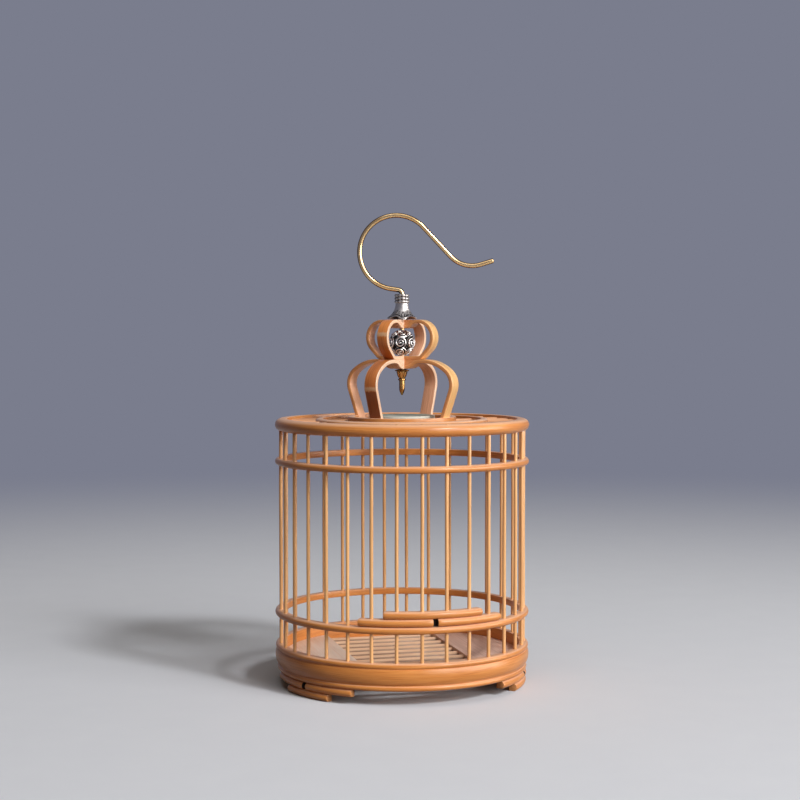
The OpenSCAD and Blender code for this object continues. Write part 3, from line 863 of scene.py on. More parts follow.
@dataclass(frozen=True)
class Stock:
    """Half-round hoop stock: flat and eased inside, round outside."""

    size: RoundSize
    corner: float = 0.25 * MM
    end_ease: float = 0.12 * MM
    nose_steps: int = 16

    def section(self, bm: BMesh) -> BMFace:
        """Draws the section.

        Args:
            bm: The mesh.

        Returns:
            The section as a face.
        """
        size, corner = self.size, self.corner
        nose = size.height / 2
        pen = Pen(bm, size.inner + corner, size.low)
        pen.line((size.outer - nose, size.low))
        pen.arc(size.outer - nose, size.low + nose, 180, self.nose_steps)
        pen.line((size.inner + corner, size.high))
        pen.arc(size.inner + corner, size.high - corner, 90, CORNER_STEPS)
        pen.line((size.inner, size.low + corner))
        pen.arc(size.inner + corner, size.low + corner, 90, CORNER_STEPS)
        return pen.close()

    def arc(self, middle: float, half_span: float) -> BMesh:
        """A closed piece of the stock with eased ends.

        Args:
            middle: Angle of its middle from the door, in degrees towards +X.
            half_span: Half of its angle, in degrees.

        Returns:
            The mesh, with its sawn ends marked as cut.
        """
        bm = bmesh.new()
        face = self.section(bm)
        move(bm, turned(middle - half_span - 90))
        steps = max(2, round(2 * half_span / 360 * TURN_STEPS))
        bmesh.ops.spin(bm, geom=[face, *face.edges, *face.verts], cent=(0, 0, 0), axis=(0, 0, 1),
                       dvec=(0, 0, 0), angle=math.radians(2 * half_span), steps=steps, use_duplicate=False)
        bmesh.ops.holes_fill(bm, edges=[edge for edge in bm.edges if edge.is_boundary], sides=0)
        outward(bm)
        ends = [face for face in bm.faces if len(face.verts) > 4]
        for face in ends:
            face.material_index = Side.CUT
        ease(bm, list({edge for face in ends for edge in face.edges}), self.end_ease)
        return bm


@dataclass
class HoopWork:
    """The turned base, the two hoops, the rim and the rings of the flat top."""

    hoop: Material
    ring: Material
    stone: Material
    corner: float = 0.25 * MM
    wall: float = 3.05 * MM
    ledge_r: float = 37.6 * MM
    ledge_h: float = 3.0 * MM
    lower_bead_r: float = 41.8 * MM
    lower_bead_h: float = 1.8 * MM
    lower_bead_a: float = 150
    band_z: float = 7.1 * MM
    band_h: float = 4.8 * MM
    band_curve_r: float = 5.2 * MM
    band_crest: float = 2.8 * MM
    groove: float = 0.5 * MM
    upper_bead_r: float = 42.35 * MM
    upper_bead_h: float = 1.9 * MM
    upper_bead_a: float = 143
    bead_steps: int = 14
    band_steps: int = 16
    lip_foot: Span = (0.4, 0.2)
    plate_bevel: float = 0.3 * MM
    plate_steps: int = 4
    plate_edge: float = 0.7 * MM
    plate_dish: float = 0.12 * MM

    def build(self) -> None:
        """Builds and dresses every hoop and ring, from the base to the centre plate."""
        self.base()
        for node in ("lower_hoop", "upper_hoop", "top_rim"):
            self.half_round(node, self.hoop)
        self.half_round("top_middle_ring", self.ring)
        self.inner_ring()
        self.plate()

    def base(self) -> None:
        """The base with its two beads and the convex band between them, drawn from the ledge outwards."""
        size = RoundSize.of("base_hoop")
        bead = self.lower_bead_h / 2
        lip = self.upper_bead_h / 2
        lip_z = self.band_z + self.band_h
        lip_r = self.upper_bead_r - self.lip_foot[0] * lip
        wall = self.upper_bead_r - self.wall
        centre_r = size.outer - self.band_curve_r
        start_a = math.degrees(math.asin(self.band_crest / self.band_curve_r))
        end_a = math.degrees(math.asin((self.band_h - self.band_crest) / self.band_curve_r))
        bm = bmesh.new()
        pen = Pen(bm, self.ledge_r, size.low)
        pen.line((self.lower_bead_r - bead, size.low))
        pen.arc(self.lower_bead_r - bead, size.low + bead, self.lower_bead_a, self.bead_steps)
        pen.line((self.lower_bead_r - self.groove, self.band_z),
                 (centre_r + self.band_curve_r * math.cos(math.radians(start_a)), self.band_z))
        pen.arc(centre_r, self.band_z + self.band_crest, start_a + end_a, self.band_steps)
        pen.line((lip_r, lip_z), (lip_r, lip_z + self.lip_foot[1] * lip))
        pen.arc(self.upper_bead_r - lip, lip_z + lip, self.upper_bead_a, self.bead_steps)
        pen.line((wall + self.corner, size.high))
        pen.arc(wall + self.corner, size.high - self.corner, 90, CORNER_STEPS)
        pen.line((wall, size.low + self.ledge_h), (self.ledge_r, size.low + self.ledge_h))
        pen.close()
        revolve(bm)
        finish_piece(bm, Place("base_ring", ("base_hoop",), "bamboo"), self.hoop)

    def half_round(self, node: str, material: Material) -> None:
        """One hoop of half-round stock.

        Args:
            node: The CAD node.
            material: Its material.
        """
        bm = bmesh.new()
        Stock(RoundSize.of(node), self.corner).section(bm)
        revolve(bm)
        finish_piece(bm, Place(f"{node}_ring", (node,), "bamboo"), material)

    def inner_ring(self) -> None:
        """The square inner ring that takes the feet of the claw."""
        size = RoundSize.of("top_inner_ring")
        bm = bmesh.new()
        pen = Pen(bm, size.inner, size.low)
        pen.line((size.outer, size.low), (size.outer, size.high), (size.inner, size.high))
        ease(bm, list(pen.close().verts), self.corner, CORNER_STEPS, "VERTICES")
        revolve(bm)
        finish_piece(bm, Place("inner_ring", ("top_inner_ring",), "bamboo"), self.ring)

    def plate(self) -> None:
        """The centre plate with its raised edge."""
        size = RoundSize.of("top_plate")
        dish_z = size.high - self.plate_dish
        edge_r = size.outer - self.plate_edge
        bm = bmesh.new()
        pen = Pen(bm, 0, size.low)
        pen.line((size.outer - self.plate_bevel, size.low))
        pen.arc(size.outer - self.plate_bevel, size.low + self.plate_bevel, 90, CORNER_STEPS)
        pen.line((size.outer, size.high - self.plate_bevel))
        pen.arc(size.outer - self.plate_bevel, size.high - self.plate_bevel, 90, self.plate_steps)
        pen.line((edge_r, size.high), (edge_r - self.plate_dish, dish_z), (0, dish_z))
        revolve(bm)
        finish_piece(bm, Place("centre_plate", ("top_plate",), "plate"), self.stone)


@dataclass
class RodWork:
    """Round rods: the bars, the sill, the door bars and the spokes of the top."""

    rod_skins: tuple[Material, Material]
    spoke_skins: tuple[Material, Material]
    rng: random.Random
    bars: int = 28
    door_bars: int = 4
    outer_spokes: int = 32
    inner_spokes: int = 16
    sides: int = 16
    rings: int = 15
    end_ease: float = 0.15 * MM
    wobble: float = 0.03 * MM
    bends: Span = (7, 6)
    swells: tuple[Span, Span] = ((0.02, 19), (0.012, 41))

    def build(self) -> None:
        """Builds and dresses every rod, in the order of the random draws."""
        for index in range(1, self.bars + 1):
            self.upright(Place(f"rod_{index:02d}", (f"bar_{index}",), "bamboo_bar"))
        for index in range(1, self.door_bars + 1):
            self.upright(Place(f"door_rod_{index}", (f"door_bar_{index}",), "bamboo_bar", "door"))
        self.sill()
        self.spokes("outer_spokes", "top_outer_spokes", self.outer_spokes)
        self.spokes("inner_spokes", "top_inner_spokes", self.inner_spokes)

    def rod(self, radius: float, length: float) -> BMesh:
        """One hand-drawn rod that stands on the origin.

        Args:
            radius: Radius of the rod.
            length: Length of the rod.

        Returns:
            The mesh, with its sawn ends marked as cut.
        """
        bm = bmesh.new()
        bmesh.ops.create_cone(bm, cap_ends=True, segments=self.sides, radius1=radius, radius2=radius,
                              depth=length, matrix=Matrix.Translation((0, 0, length / 2)))
        for face in bm.faces:
            face.material_index = Side.CUT if abs(face.normal.z) > 0.5 else Side.SKIN

        def lengthwise(edge: BMEdge) -> bool:
            """Tells the edges that run along the rod."""
            return abs(edge.verts[0].co.z - edge.verts[1].co.z) > length / 2

        ease(bm, [edge for edge in bm.edges if not lengthwise(edge)], self.end_ease)
        bmesh.ops.subdivide_edges(bm, edges=[edge for edge in bm.edges if lengthwise(edge)], cuts=self.rings,
                                  use_grid_fill=True)
        phase = [self.rng.uniform(0, 2 * math.pi) for _ in range(4)]
        for vert in bm.verts:
            share = vert.co.z / length
            hold = self.wobble * math.sin(math.pi * share)
            vert.co.x += hold * math.sin(self.bends[0] * share + phase[0])
            vert.co.y += hold * math.sin(self.bends[1] * share + phase[1])
            swell = 1 + sum(size * math.sin(pace * share + start)
                            for (size, pace), start in zip(self.swells, phase[2:]))
            vert.co.x *= swell
            vert.co.y *= swell
        return bm

    def upright(self, place: Place) -> None:
        """A rod in place of an upright node of one solid.

        Args:
            place: Name, node, slot and body of the rod.
        """
        low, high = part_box(place.nodes[0])
        bm = self.rod((high.x - low.x) / 2, high.z - low.z)
        move(bm, Matrix.Translation(((low.x + high.x) / 2, (low.y + high.y) / 2, low.z)))
        finish_piece(bm, place, *self.rod_skins)

    def sill(self) -> None:
        """The short bars under the door, at the places of the door bars and as thick as the first of them."""
        low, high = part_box("sill_bars")
        boxes = [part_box(f"door_bar_{index}") for index in range(1, self.door_bars + 1)]
        radius = (boxes[0][1].x - boxes[0][0].x) / 2
        bm = bmesh.new()
        for start, end in boxes:
            part = self.rod(radius, high.z - low.z)
            move(part, Matrix.Translation(((start.x + end.x) / 2, (start.y + end.y) / 2, low.z)))
            merge_in(bm, part)
        finish_piece(bm, Place("sill_rods", ("sill_bars",), "bamboo_bar"), *self.rod_skins)

    def spokes(self, name: str, node: str, count: int) -> None:
        """A ring of level rods, the first of them half a step from the door.

        Args:
            name: Name of the piece.
            node: The CAD node.
            count: Number of spokes.
        """
        size = RoundSize.of(node)
        radius = size.height / 2
        lay = Matrix.Translation((0, -size.inner, size.low + radius)) @ turned(90, "X")
        bm = bmesh.new()
        for index in range(count):
            part = self.rod(radius, size.outer - size.inner)
            move(part, turned(360 * (index + 0.5) / count) @ lay)
            merge_in(bm, part)
        finish_piece(bm, Place(name, (node,), "bamboo_bar"), *self.spoke_skins)


@dataclass
class FloorWork:
    """The two floor boards and the slats between them."""

    left: Material
    right: Material
    slat: Material
    edge: float = 0.18 * MM
    slat_edge: float = 0.1 * MM
    slat_w: float = 3.2 * MM
    slat_pitch: float = 6.7 * MM
    slat_steps: int = 10

    def build(self) -> None:
        """Builds and dresses the floor."""
        self.board("board_left", "floor_board_left", -1, self.left)
        self.board("board_right", "floor_board_right", 1, self.right)
        self.slats()

    def board(self, name: str, node: str, side: int, material: Material) -> None:
        """One board: a segment of the round floor with eased edges.

        Args:
            name: Name of the piece.
            node: The CAD node.
            side: 1 for the board at +X, -1 for the one at -X.
            material: Its material.
        """
        low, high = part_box(node)
        straight, radius = sorted((abs(low.x), abs(high.x)))
        bm = bmesh.new()
        bmesh.ops.create_circle(bm, cap_ends=True, radius=radius, segments=TURN_STEPS,
                                matrix=Matrix.Translation((0, 0, low.z)))
        bmesh.ops.bisect_plane(bm, geom=bm.verts[:] + bm.edges[:] + bm.faces[:], dist=0.2 * WELD,
                               plane_co=(straight * side, 0, 0), plane_no=(side, 0, 0), clear_inner=True)
        thicken(bm, bm.faces[:], (0, 0, high.z - low.z))
        ease(bm, sharp_edges(bm), self.edge)
        finish_piece(bm, Place(name, (node,), "bamboo_pale"), material)

    def slats(self) -> None:
        """The row of slats, flat below and rounded above."""
        low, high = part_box("floor_slats")
        height = high.z - low.z
        curve = (self.slat_w ** 2 / 4 + height ** 2) / (2 * height)
        half = math.degrees(math.asin(self.slat_w / 2 / curve))
        count = round((high.y - low.y - self.slat_w) / self.slat_pitch) + 1
        bm = bmesh.new()
        for index in range(count):
            part = bmesh.new()
            pen = Pen(part, self.slat_w / 2, 0)
            pen.arc(0, height - curve, 2 * half, self.slat_steps)
            thicken(part, [pen.close()], (0, high.x - low.x, 0))
            ease(part, sharp_edges(part), self.slat_edge)
            spot = (high.x, low.y + self.slat_w / 2 + index * self.slat_pitch, low.z)
            move(part, Matrix.Translation(spot) @ turned(90))
            merge_in(bm, part)
        finish_piece(bm, Place("slat_row", ("floor_slats",), "bamboo_pale"), self.slat)


@dataclass
class ArcWork:
    """Feet and door rails: curved pieces of hoop stock, some with a notch in the middle."""

    skins: tuple[Material, Material, Material]
    notch_w: float = 1.6 * MM
    notch_depth: float = 2.0 * MM
    notch_reach: float = 1.5
    web_inset: float = 0.02 * MM
    web_seat: float = 0.9
    foot_w: float = 3.0 * MM
    foot_pad_h: float = 2.4 * MM
    foot_step: float = 0.1 * MM
    foot_r: float = 41.75 * MM
    foot_rail_a: float = 26.76
    foot_pad_a: float = 14.41
    long_rail_a: float = 33.76
    short_rail_a: float = 22.51

    def build(self) -> None:
        """Builds and dresses the three feet and the two rails of the door."""
        for side, angle in (("left", -64), ("right", 64), ("back", 180)):
            self.foot(f"foot_block_{side}", f"foot_{side}", angle)
        bm = self.notched(RoundSize.of("door_rail_long"), 0, self.long_rail_a)
        finish_piece(bm, Place("door_rail_lower", ("door_rail_long",), "bamboo", "door"), *self.skins)
        bm = Stock(RoundSize.of("door_rail_short")).arc(0, self.short_rail_a)
        finish_piece(bm, Place("door_rail_upper", ("door_rail_short",), "bamboo", "door"), *self.skins)

    def notched(self, size: RoundSize, middle: float, half_span: float) -> BMesh:
        """Hoop stock with a notch across its outer half.

        Args:
            size: Radii and heights of the stock.
            middle: Angle of the middle from the door, in degrees.
            half_span: Half of its angle, in degrees.

        Returns:
            The mesh of both arms and the web that joins them, with the notch given near-black painted shade.
        """
        gap = math.degrees(self.notch_w / 2 / size.outer)
        arm = (half_span - gap) / 2
        bm = Stock(size).arc(middle - gap - arm, arm)
        merge_in(bm, Stock(size).arc(middle + gap + arm, arm))
        # Painted shade: the sawn ends inside the notch and the web between the arms get the near-black
        # material, which stands in for the shadow deep in the notch.
        for face in bm.faces:
            spot = face.calc_center_median()
            off = math.degrees(math.atan2(spot.x, -spot.y)) - middle
            if face.material_index == Side.CUT and abs((off + 180) % 360 - 180) < self.notch_reach * gap:
                face.material_index = Side.NOTCH_SHADE
        inner, outer = size.inner + self.web_inset, size.outer - self.notch_depth
        part = bmesh.new()
        bmesh.ops.create_cube(part, size=1)
        height = size.height - 2 * self.web_inset
        shape = Matrix.Diagonal((2 * self.web_seat * self.notch_w, outer - inner, height, 1))
        shift = Matrix.Translation((0, -(inner + outer) / 2, (size.low + size.high) / 2))
        move(part, turned(middle) @ shift @ shape)
        # The web is painted shade too.
        for face in part.faces:
            face.material_index = Side.NOTCH_SHADE
        merge_in(bm, part)
        return bm

    def foot(self, name: str, node: str, angle: float) -> None:
        """One foot of two tiers.

        Args:
            name: Name of the piece.
            node: The CAD node.
            angle: Angle from the door, in degrees.
        """
        low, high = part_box(node)
        split = low.z + self.foot_pad_h
        inner = self.foot_r - self.foot_w
        bm = self.notched(RoundSize(inner, self.foot_r, split, high.z), angle, self.foot_rail_a)
        pad = RoundSize(inner + self.foot_step, self.foot_r - self.foot_step, low.z, split)
        merge_in(bm, Stock(pad).arc(angle, self.foot_pad_a))
        finish_piece(bm, Place(name, (node,), "bamboo"), *self.skins)


@dataclass(frozen=True)
class Crossing:
    """Section of two strips that cross on the cage axis, and the dip that they have there."""

    width: float
    thickness: float
    middle_z: float
    depth: float
    radius: float

    @property
    def floor_z(self) -> float:
        """Height of the strips' skin in the dip."""
        return self.middle_z + self.thickness / 2

    @property
    def angle(self) -> float:
        """Angle of both bends that lead out of the dip, in degrees."""
        return math.degrees(math.acos(1 - self.depth / (2 * self.radius)))


WAIST = Crossing(width=4.5 * MM, thickness=1.2 * MM, middle_z=105.6 * MM, depth=2.0 * MM, radius=4.0 * MM)
CROWN = Crossing(width=4.0 * MM, thickness=1.1 * MM, middle_z=119.05 * MM, depth=1.8 * MM, radius=3.0 * MM)


@dataclass(frozen=True)
class Strip:
    """One strip of the claw; its node is on the half that points to the front."""

    name: str
    node: str
    turn: float
    over: bool
    skin: StripSkin
    node_z: float


@dataclass
class ClawWork:
    """The gourd-shaped claw: two leg strips, two gourd strips and the saddles in their dips."""

    legs: list[Strip]
    gourds: list[Strip]
    saddle_skins: list[Material]
    seat_fit: float = 0.05 * MM
    lap_land: float = 0.3 * MM
    lap_step: float = 0.01 * MM
    corner: float = 0.16 * MM
    leg_shoulder: float = 8.9 * MM
    leg_crown_r: float = 13.7 * MM
    leg_crown_a: float = 40
    leg_side_r: float = 5.9 * MM
    leg_lean: float = 19
    leg_foot_z: float = 86.1 * MM
    leg_steps: tuple[int, ...] = (2, 14, 16, 6)
    gourd_z: float = 108.2 * MM
    gourd_shoulder: float = 7.0 * MM
    gourd_side_r: float = 5.4 * MM
    gourd_lean: float = 45
    gourd_corner_r: float = 1.3 * MM
    gourd_steps: tuple[int, ...] = (24, 5, 5)
    saddle_inset: float = 0.1 * MM
    wire_bore: float = 1.8 * MM
    seat_bore: float = 3.9 * MM
    node_ridge: float = 0.07 * MM
    node_spread: float = 0.45 * MM

    def build(self) -> None:
        """Builds and dresses the strips, the saddle at the waist and the one round the cap's seat."""
        for strip in self.legs:
            self.leg(strip)
        for strip in self.gourds:
            self.gourd(strip)
        self.saddle(Place("waist_saddle", ("claw_waist_block",), "bamboo_pale"), WAIST, self.wire_bore)
        self.saddle(Place("top_saddle", (), "bamboo_pale"), CROWN, self.seat_bore)

    def start(self, cross: Crossing) -> tuple[BMesh, Sweep]:
        """Starts a strip at the cage axis and bends it up out of its dip.

        Args:
            cross: The crossing.

        Returns:
            The mesh and the sweep.
        """
        bm = bmesh.new()
        corners = bmesh.ops.create_grid(bm, x_segments=1, y_segments=1, size=0.5)["verts"]
        move(bm, turned(-90, "Y") @ Matrix.Diagonal((cross.thickness, cross.width, 1, 1)))
        ease(bm, corners, self.corner, CORNER_STEPS, "VERTICES")
        face = bm.faces[:][0]
        sweep = Sweep(bm, face, (0, cross.middle_z), 0)
        bmesh.ops.delete(bm, geom=[face], context="FACES_ONLY")
        sweep.run(cross.width / 2 + self.seat_fit)
        sweep.run(self.lap_step)
        sweep.run(self.lap_land - self.seat_fit - self.lap_step)
        sweep.bend(cross.radius, cross.angle, DIP_STEPS)
        sweep.bend(cross.radius, -cross.angle, DIP_STEPS)
        return bm, sweep

    def complete(self, bm: BMesh, sweep: Sweep, strip: Strip, cross: Crossing,
                 laps: tuple[float, ...]) -> None:
        """Mirrors half a strip, cuts its laps, raises its node, turns it into place and dresses it.

        Args:
            bm: The mesh of one half.
            sweep: The sweep that made it.
            strip: The strip.
            cross: Its crossing.
            laps: Heights of the strip's middle at its crossings.
        """
        node_at = -sweep.along_at(strip.node_z)
        along, lift = sweep.layers["along"], sweep.layers["lift"]
        reach = cross.width / 2 + self.seat_fit + self.lap_step / 2
        for vert in bm.verts:
            if vert.co.x < reach:
                middle = min(laps, key=lambda height: abs(height - vert.co.z))
                vert.co.z = max(vert.co.z, middle) if strip.over else min(vert.co.z, middle)
        bmesh.ops.mirror(bm, geom=bm.verts[:] + bm.edges[:] + bm.faces[:], axis="X", merge_dist=4 * WELD)
        bmesh.ops.remove_doubles(bm, verts=bm.verts[:], dist=WELD)
        outward(bm)
        bm.normal_update()
        for vert in bm.verts:
            if vert.co.x < 0:
                vert[along] = -vert[along]
            if vert[lift] > 0:
                away = (vert[along] - node_at) / self.node_spread
                vert.co += vert.normal * self.node_ridge * math.exp(-away * away)
        move(bm, turned(strip.turn))
        material = replace(strip.skin, node_at=node_at).material()
        finish_piece(bm, Place(strip.name, (strip.node,), "bamboo_claw"), material)

    def leg(self, strip: Strip) -> None:
        """One leg strip, from the waist down into the inner ring.

        Args:
            strip: The strip.
        """
        bm, sweep = self.start(WAIST)
        shoulder, crown, side, shin = self.leg_steps
        sweep.run(self.leg_shoulder - sweep.x, shoulder)
        sweep.bend(self.leg_crown_r, -self.leg_crown_a, crown)
        sweep.bend(self.leg_side_r, self.leg_crown_a - self.leg_lean - 90, side)
        lean = math.radians(self.leg_lean)
        sweep.run((sweep.z - self.leg_foot_z) / math.cos(lean) - WAIST.thickness / 2 * math.tan(lean), shin)
        sweep.cap()
        self.complete(bm, sweep, strip, WAIST, (WAIST.middle_z,))

    def gourd(self, strip: Strip) -> None:
        """One closed gourd strip, from its crown down to the waist.

        Args:
            strip: The strip.
        """
        bm, sweep = self.start(CROWN)
        side, slope, corner = self.gourd_steps
        sweep.run(self.gourd_shoulder - sweep.x)
        sweep.bend(self.gourd_side_r, -90 - self.gourd_lean, side)
        lean = math.radians(self.gourd_lean)
        base_z = self.gourd_z + CROWN.thickness / 2
        drop = sweep.z - base_z - self.gourd_corner_r * (1 - math.sin(lean))
        sweep.run(drop / math.cos(lean), slope)
        sweep.bend(self.gourd_corner_r, self.gourd_lean - 90, corner)
        lap = CROWN.width / 2 + self.seat_fit
        for length in (sweep.x - lap - self.lap_step, self.lap_step, lap):
            sweep.run(length)
        self.complete(bm, sweep, strip, CROWN, (CROWN.middle_z, base_z))

    def saddle(self, place: Place, cross: Crossing, bore: float) -> None:
        """Four arms that fill the dip of two crossed strips.

        Args:
            place: Name, nodes and slot of the saddle.
            cross: The crossing.
            bore: Width that is left free about the cage axis.
        """
        bm = bmesh.new()
        starts = max(bore, cross.width - self.saddle_inset) / 2, bore / 2
        for index, (turn, start) in enumerate(zip(STRIP_TURNS, starts)):
            for way in (turn, turn + 180):
                part = self.saddle_arm(cross, start)
                for face in part.faces:
                    face.material_index = index
                move(part, turned(way))
                merge_in(bm, part)
        finish_piece(bm, place, *self.saddle_skins)

    def saddle_arm(self, cross: Crossing, start: float) -> BMesh:
        """One arm of a saddle along +X, flat above and bent below as the strip under it.

        Args:
            cross: The crossing.
            start: Distance of its inner end from the cage axis.

        Returns:
            The mesh of the arm.
        """
        flat = cross.width / 2 + self.lap_land
        reach = flat + 2 * cross.radius * math.sin(math.radians(cross.angle))
        width = cross.width - self.saddle_inset
        part = bmesh.new()
        pen = Pen(part, start, cross.floor_z)
        pen.line((flat, cross.floor_z))
        pen.arc(flat, cross.middle_z + cross.radius, cross.angle, DIP_STEPS)
        pen.arc(reach, cross.middle_z + cross.depth - cross.radius, -cross.angle, DIP_STEPS)
        pen.line((start, cross.floor_z + cross.depth))
        thicken(part, [pen.close()], (0, width, 0))
        move(part, Matrix.Translation((0, -width / 2, 0)))
        return part


@dataclass
class HookWork:
    """The wire hook with its silver cap, its brass finial and the carved bead."""

    brass: Material
    silver: Material
    brown_brass: Material
    light_silver: Material
    wire_d: float = 1.65 * MM
    wire_sides: int = 20
    wire_end: float = 0.3 * MM
    turn: float = -15
    neck_r: float = 1.4 * MM
    neck_a: float = 82
    neck_run: float = 2.4 * MM
    bow_r: float = 12.3 * MM
    bow_a: float = 219
    bow_run: float = 13.3 * MM
    tail_r: float = 9.9 * MM
    tail_a: float = 64
    tail_run: float = 4.4 * MM
    wire_steps: tuple[int, ...] = (6, 14, 64, 3, 20, 2)
    skirt_z: float = 121.6 * MM
    skirt_d: float = 10.0 * MM
    skirt_edge: float = 0.5 * MM
    skirt_bevel: float = 0.1 * MM
    flare_steps: int = 56
    core_d: float = 7.8 * MM
    core_land: float = 0.03 * MM
    seat_d: float = 3.8 * MM
    arches: int = 5
    arch_turn: float = -9
    arch_r: float = 3.14 * MM
    arch_h: float = 0.9 * MM
    neck_z: float = 126.9 * MM
    neck_d: float = 4.3 * MM
    collar_d: float = 5.1 * MM
    collar_rings: int = 3
    collar_round: float = 0.2 * MM
    collar_flat: Span = (0.35, 0.65)
    collar_dots: int = 12
    dot_h: Span = (0.7, 0.3)
    groove_h: float = 0.1
    leaf_h: float = 0.9
    carving: float = 0.07 * MM
    border: Span = (0.1, 0.16)
    veins: tuple[int, int] = (7, 3)
    vein_fade: Span = (0.4, 0.6)
    bead_depth: float = 0.36 * MM
    bead_pole: float = 0.955
    bead_sides: int = 200
    bead_rows: int = 120
    scroll_rows: tuple[tuple[float, int, float], ...] = ((2, 6, 8), (50, 5, 40), (-47, 5, 30))
    scroll_reach: float = 0.46
    scroll_pitch: float = 0.21
    scroll_phase: float = 0.6
    scroll_steep: float = 1.3
    scroll_gap: float = 0.2
    gap_h: Span = (0.2, 0.4)
    petals: int = 6
    petal_d: float = 2.1 * MM
    petal_tilt: float = 10
    petal_shape: tuple[float, float, float] = (0.9, 1.0, 0.8)
    petal_sides: int = 20
    petal_rows: int = 12
    flower_d: float = 5.0 * MM
    flower_h: float = 0.8 * MM
    flower_round: float = 0.2 * MM
    cup_h: float = 2.7 * MM
    cup_d: float = 3.7 * MM
    cup_profile: tuple[Span, ...] = ((0.64, 0.25), (0.8, 0.45), (0.92, 0.7), (0.99, 0.9), (1.0, 1.0))
    ribs: int = 10
    rib_depth: float = 0.2 * MM
    rib_start: float = 0.2
    pin_d: float = 1.9 * MM
    pin_point: float = 1.6 * MM
    pin_profile: tuple[Span, ...] = ((0.12, 0.0), (0.26, 0.35), (0.41, 0.75), (0.48, 1.1), (0.5, 1.4))
    pin_ring_t: float = 0.8 * MM
    pin_ring_sink: float = 0.45
    pin_ring_steps: int = 10

    def build(self) -> None:
        """Builds and dresses the hook and what is on it."""
        self.wire()
        self.cap()
        self.finial()
        self.bead()

    def wire(self) -> None:
        """The hook, bent from one wire."""
        low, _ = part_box("hook")
        _, cap_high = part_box("hook_cap")
        bm = bmesh.new()
        bmesh.ops.create_circle(bm, cap_ends=True, radius=self.wire_d / 2, segments=self.wire_sides,
                                matrix=turned(90, "Y"))
        sweep = Sweep(bm, bm.faces[:][0], (0, low.z), 90)
        shank, neck, bow, shaft, tail, tip = self.wire_steps
        sweep.run(cap_high.z - low.z, shank)
        sweep.bend(self.neck_r, self.neck_a, neck)
        sweep.run(self.neck_run)
        sweep.bend(self.bow_r, -self.bow_a, bow)
        sweep.run(self.bow_run, shaft)
        sweep.bend(self.tail_r, self.tail_a, tail)
        sweep.run(self.tail_run, tip)
        end = sweep.cap()
        outward(bm)
        ease(bm, list(end.edges), self.wire_end, 3)
        move(bm, turned(self.turn))
        finish_piece(bm, Place("hook_wire", ("hook",), "brass", "hook"), self.brass)

    @property
    def flare_h(self) -> float:
        """Height of the skirt's flare over its edge."""
        return self.neck_z - self.skirt_z - self.skirt_edge

    @property
    def curve(self) -> float:
        """Radius of the skirt's hollow flare."""
        flare = (self.skirt_d - self.neck_d) / 2
        return (flare ** 2 + self.flare_h ** 2) / (2 * flare)

    def flare_r(self, z: float) -> float:
        """Radius of the skirt at a height."""
        drop = clamp(self.neck_z - z, 0, self.flare_h)
        return self.neck_d / 2 + self.curve - math.sqrt(self.curve ** 2 - drop ** 2)

    def leaf(self, point: Vector) -> float:
        """Place of a point between two tips of the skirt: -0.5 and 0.5 at the tips, 0 in the middle."""
        tip = math.radians(self.arch_turn - 90)
        return (math.atan2(point.y, point.x) - tip) / (2 * math.pi) * self.arches % 1 - 0.5

    def arch_z(self, point: Vector) -> float:
        """Height of the skirt's edge above or below a point.

        Args:
            point: A point of the cap.

        Returns:
            The height of the edge.
        """
        across = self.skirt_d / 2 * math.sin(self.leaf(point) * 2 * math.pi / self.arches)
        rise = math.sqrt(max(0.0, self.arch_r ** 2 - across ** 2)) - self.arch_r + self.arch_h
        return self.skirt_z + max(0.0, rise)

    def cap(self) -> None:
        """The cap: seat, flared skirt with arches in its edge, ringed collar."""
        low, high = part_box("hook_cap")
        seat_r, core_r, skirt_r = self.seat_d / 2, self.core_d / 2, self.skirt_d / 2
        ring = (high.z - self.neck_z) / self.collar_rings
        bm = bmesh.new()
        pen = Pen(bm, self.wire_d / 2, low.z)
        pen.line((seat_r, low.z), (seat_r, self.skirt_z), (core_r, self.skirt_z),
                 (core_r + self.core_land, self.skirt_z), (skirt_r - self.skirt_bevel, self.skirt_z),
                 (skirt_r, self.skirt_z + self.skirt_bevel), (skirt_r, self.skirt_z + self.skirt_edge))
        flare_a = math.degrees(math.asin(self.flare_h / self.curve))
        pen.arc(self.neck_d / 2 + self.curve, self.neck_z, -flare_a, self.flare_steps)
        for index in range(self.collar_rings):
            self.bulge(pen, self.neck_z + index * ring, ring)
        pen.line((self.wire_d / 2, high.z))
        revolve(bm)
        relief = bm.verts.layers.float.new("relief")
        for vert in bm.verts:
            out = math.hypot(vert.co.x, vert.co.y) > core_r + self.core_land / 2
            if out or self.skirt_z < vert.co.z < self.neck_z:
                self.raise_edge(vert)
        bm.normal_update()
        for vert in bm.verts:
            vert[relief] = self.cap_relief(vert.co)
            if self.skirt_z < vert.co.z < self.neck_z:
                vert.co -= vert.normal * self.carving * (1 - vert[relief])
        finish_piece(bm, Place("silver_cap", ("hook_cap",), "silver", "hook"), self.silver)

    def raise_edge(self, vert: BMVert) -> None:
        """Slides a point of the skirt up its flare, so that the edge follows the arches.

        Args:
            vert: The point.
        """
        edge = self.arch_z(vert.co)
        radius = math.hypot(vert.co.x, vert.co.y)
        share = (vert.co.z - self.skirt_z) / (self.neck_z - self.skirt_z)
        vert.co.z = edge + share * (self.neck_z - edge)
        shrink = min(1.0, self.flare_r(vert.co.z) / radius)
        vert.co.x *= shrink
        vert.co.y *= shrink

    def bulge(self, pen: Pen, level: float, ring: float) -> None:
        """One rounded ring of the collar.

        Args:
            pen: The pen at the foot of the ring.
            level: Height of the foot of the ring.
            ring: Height of the ring.
        """
        crest, edge, step = self.collar_d / 2, self.collar_d / 2 - self.collar_round, self.collar_round / 2
        pen.line((edge, level + step), *((crest, level + share * ring) for share in self.collar_flat),
                 (edge, level + ring - step), (self.neck_d / 2, level + ring - step / 2))

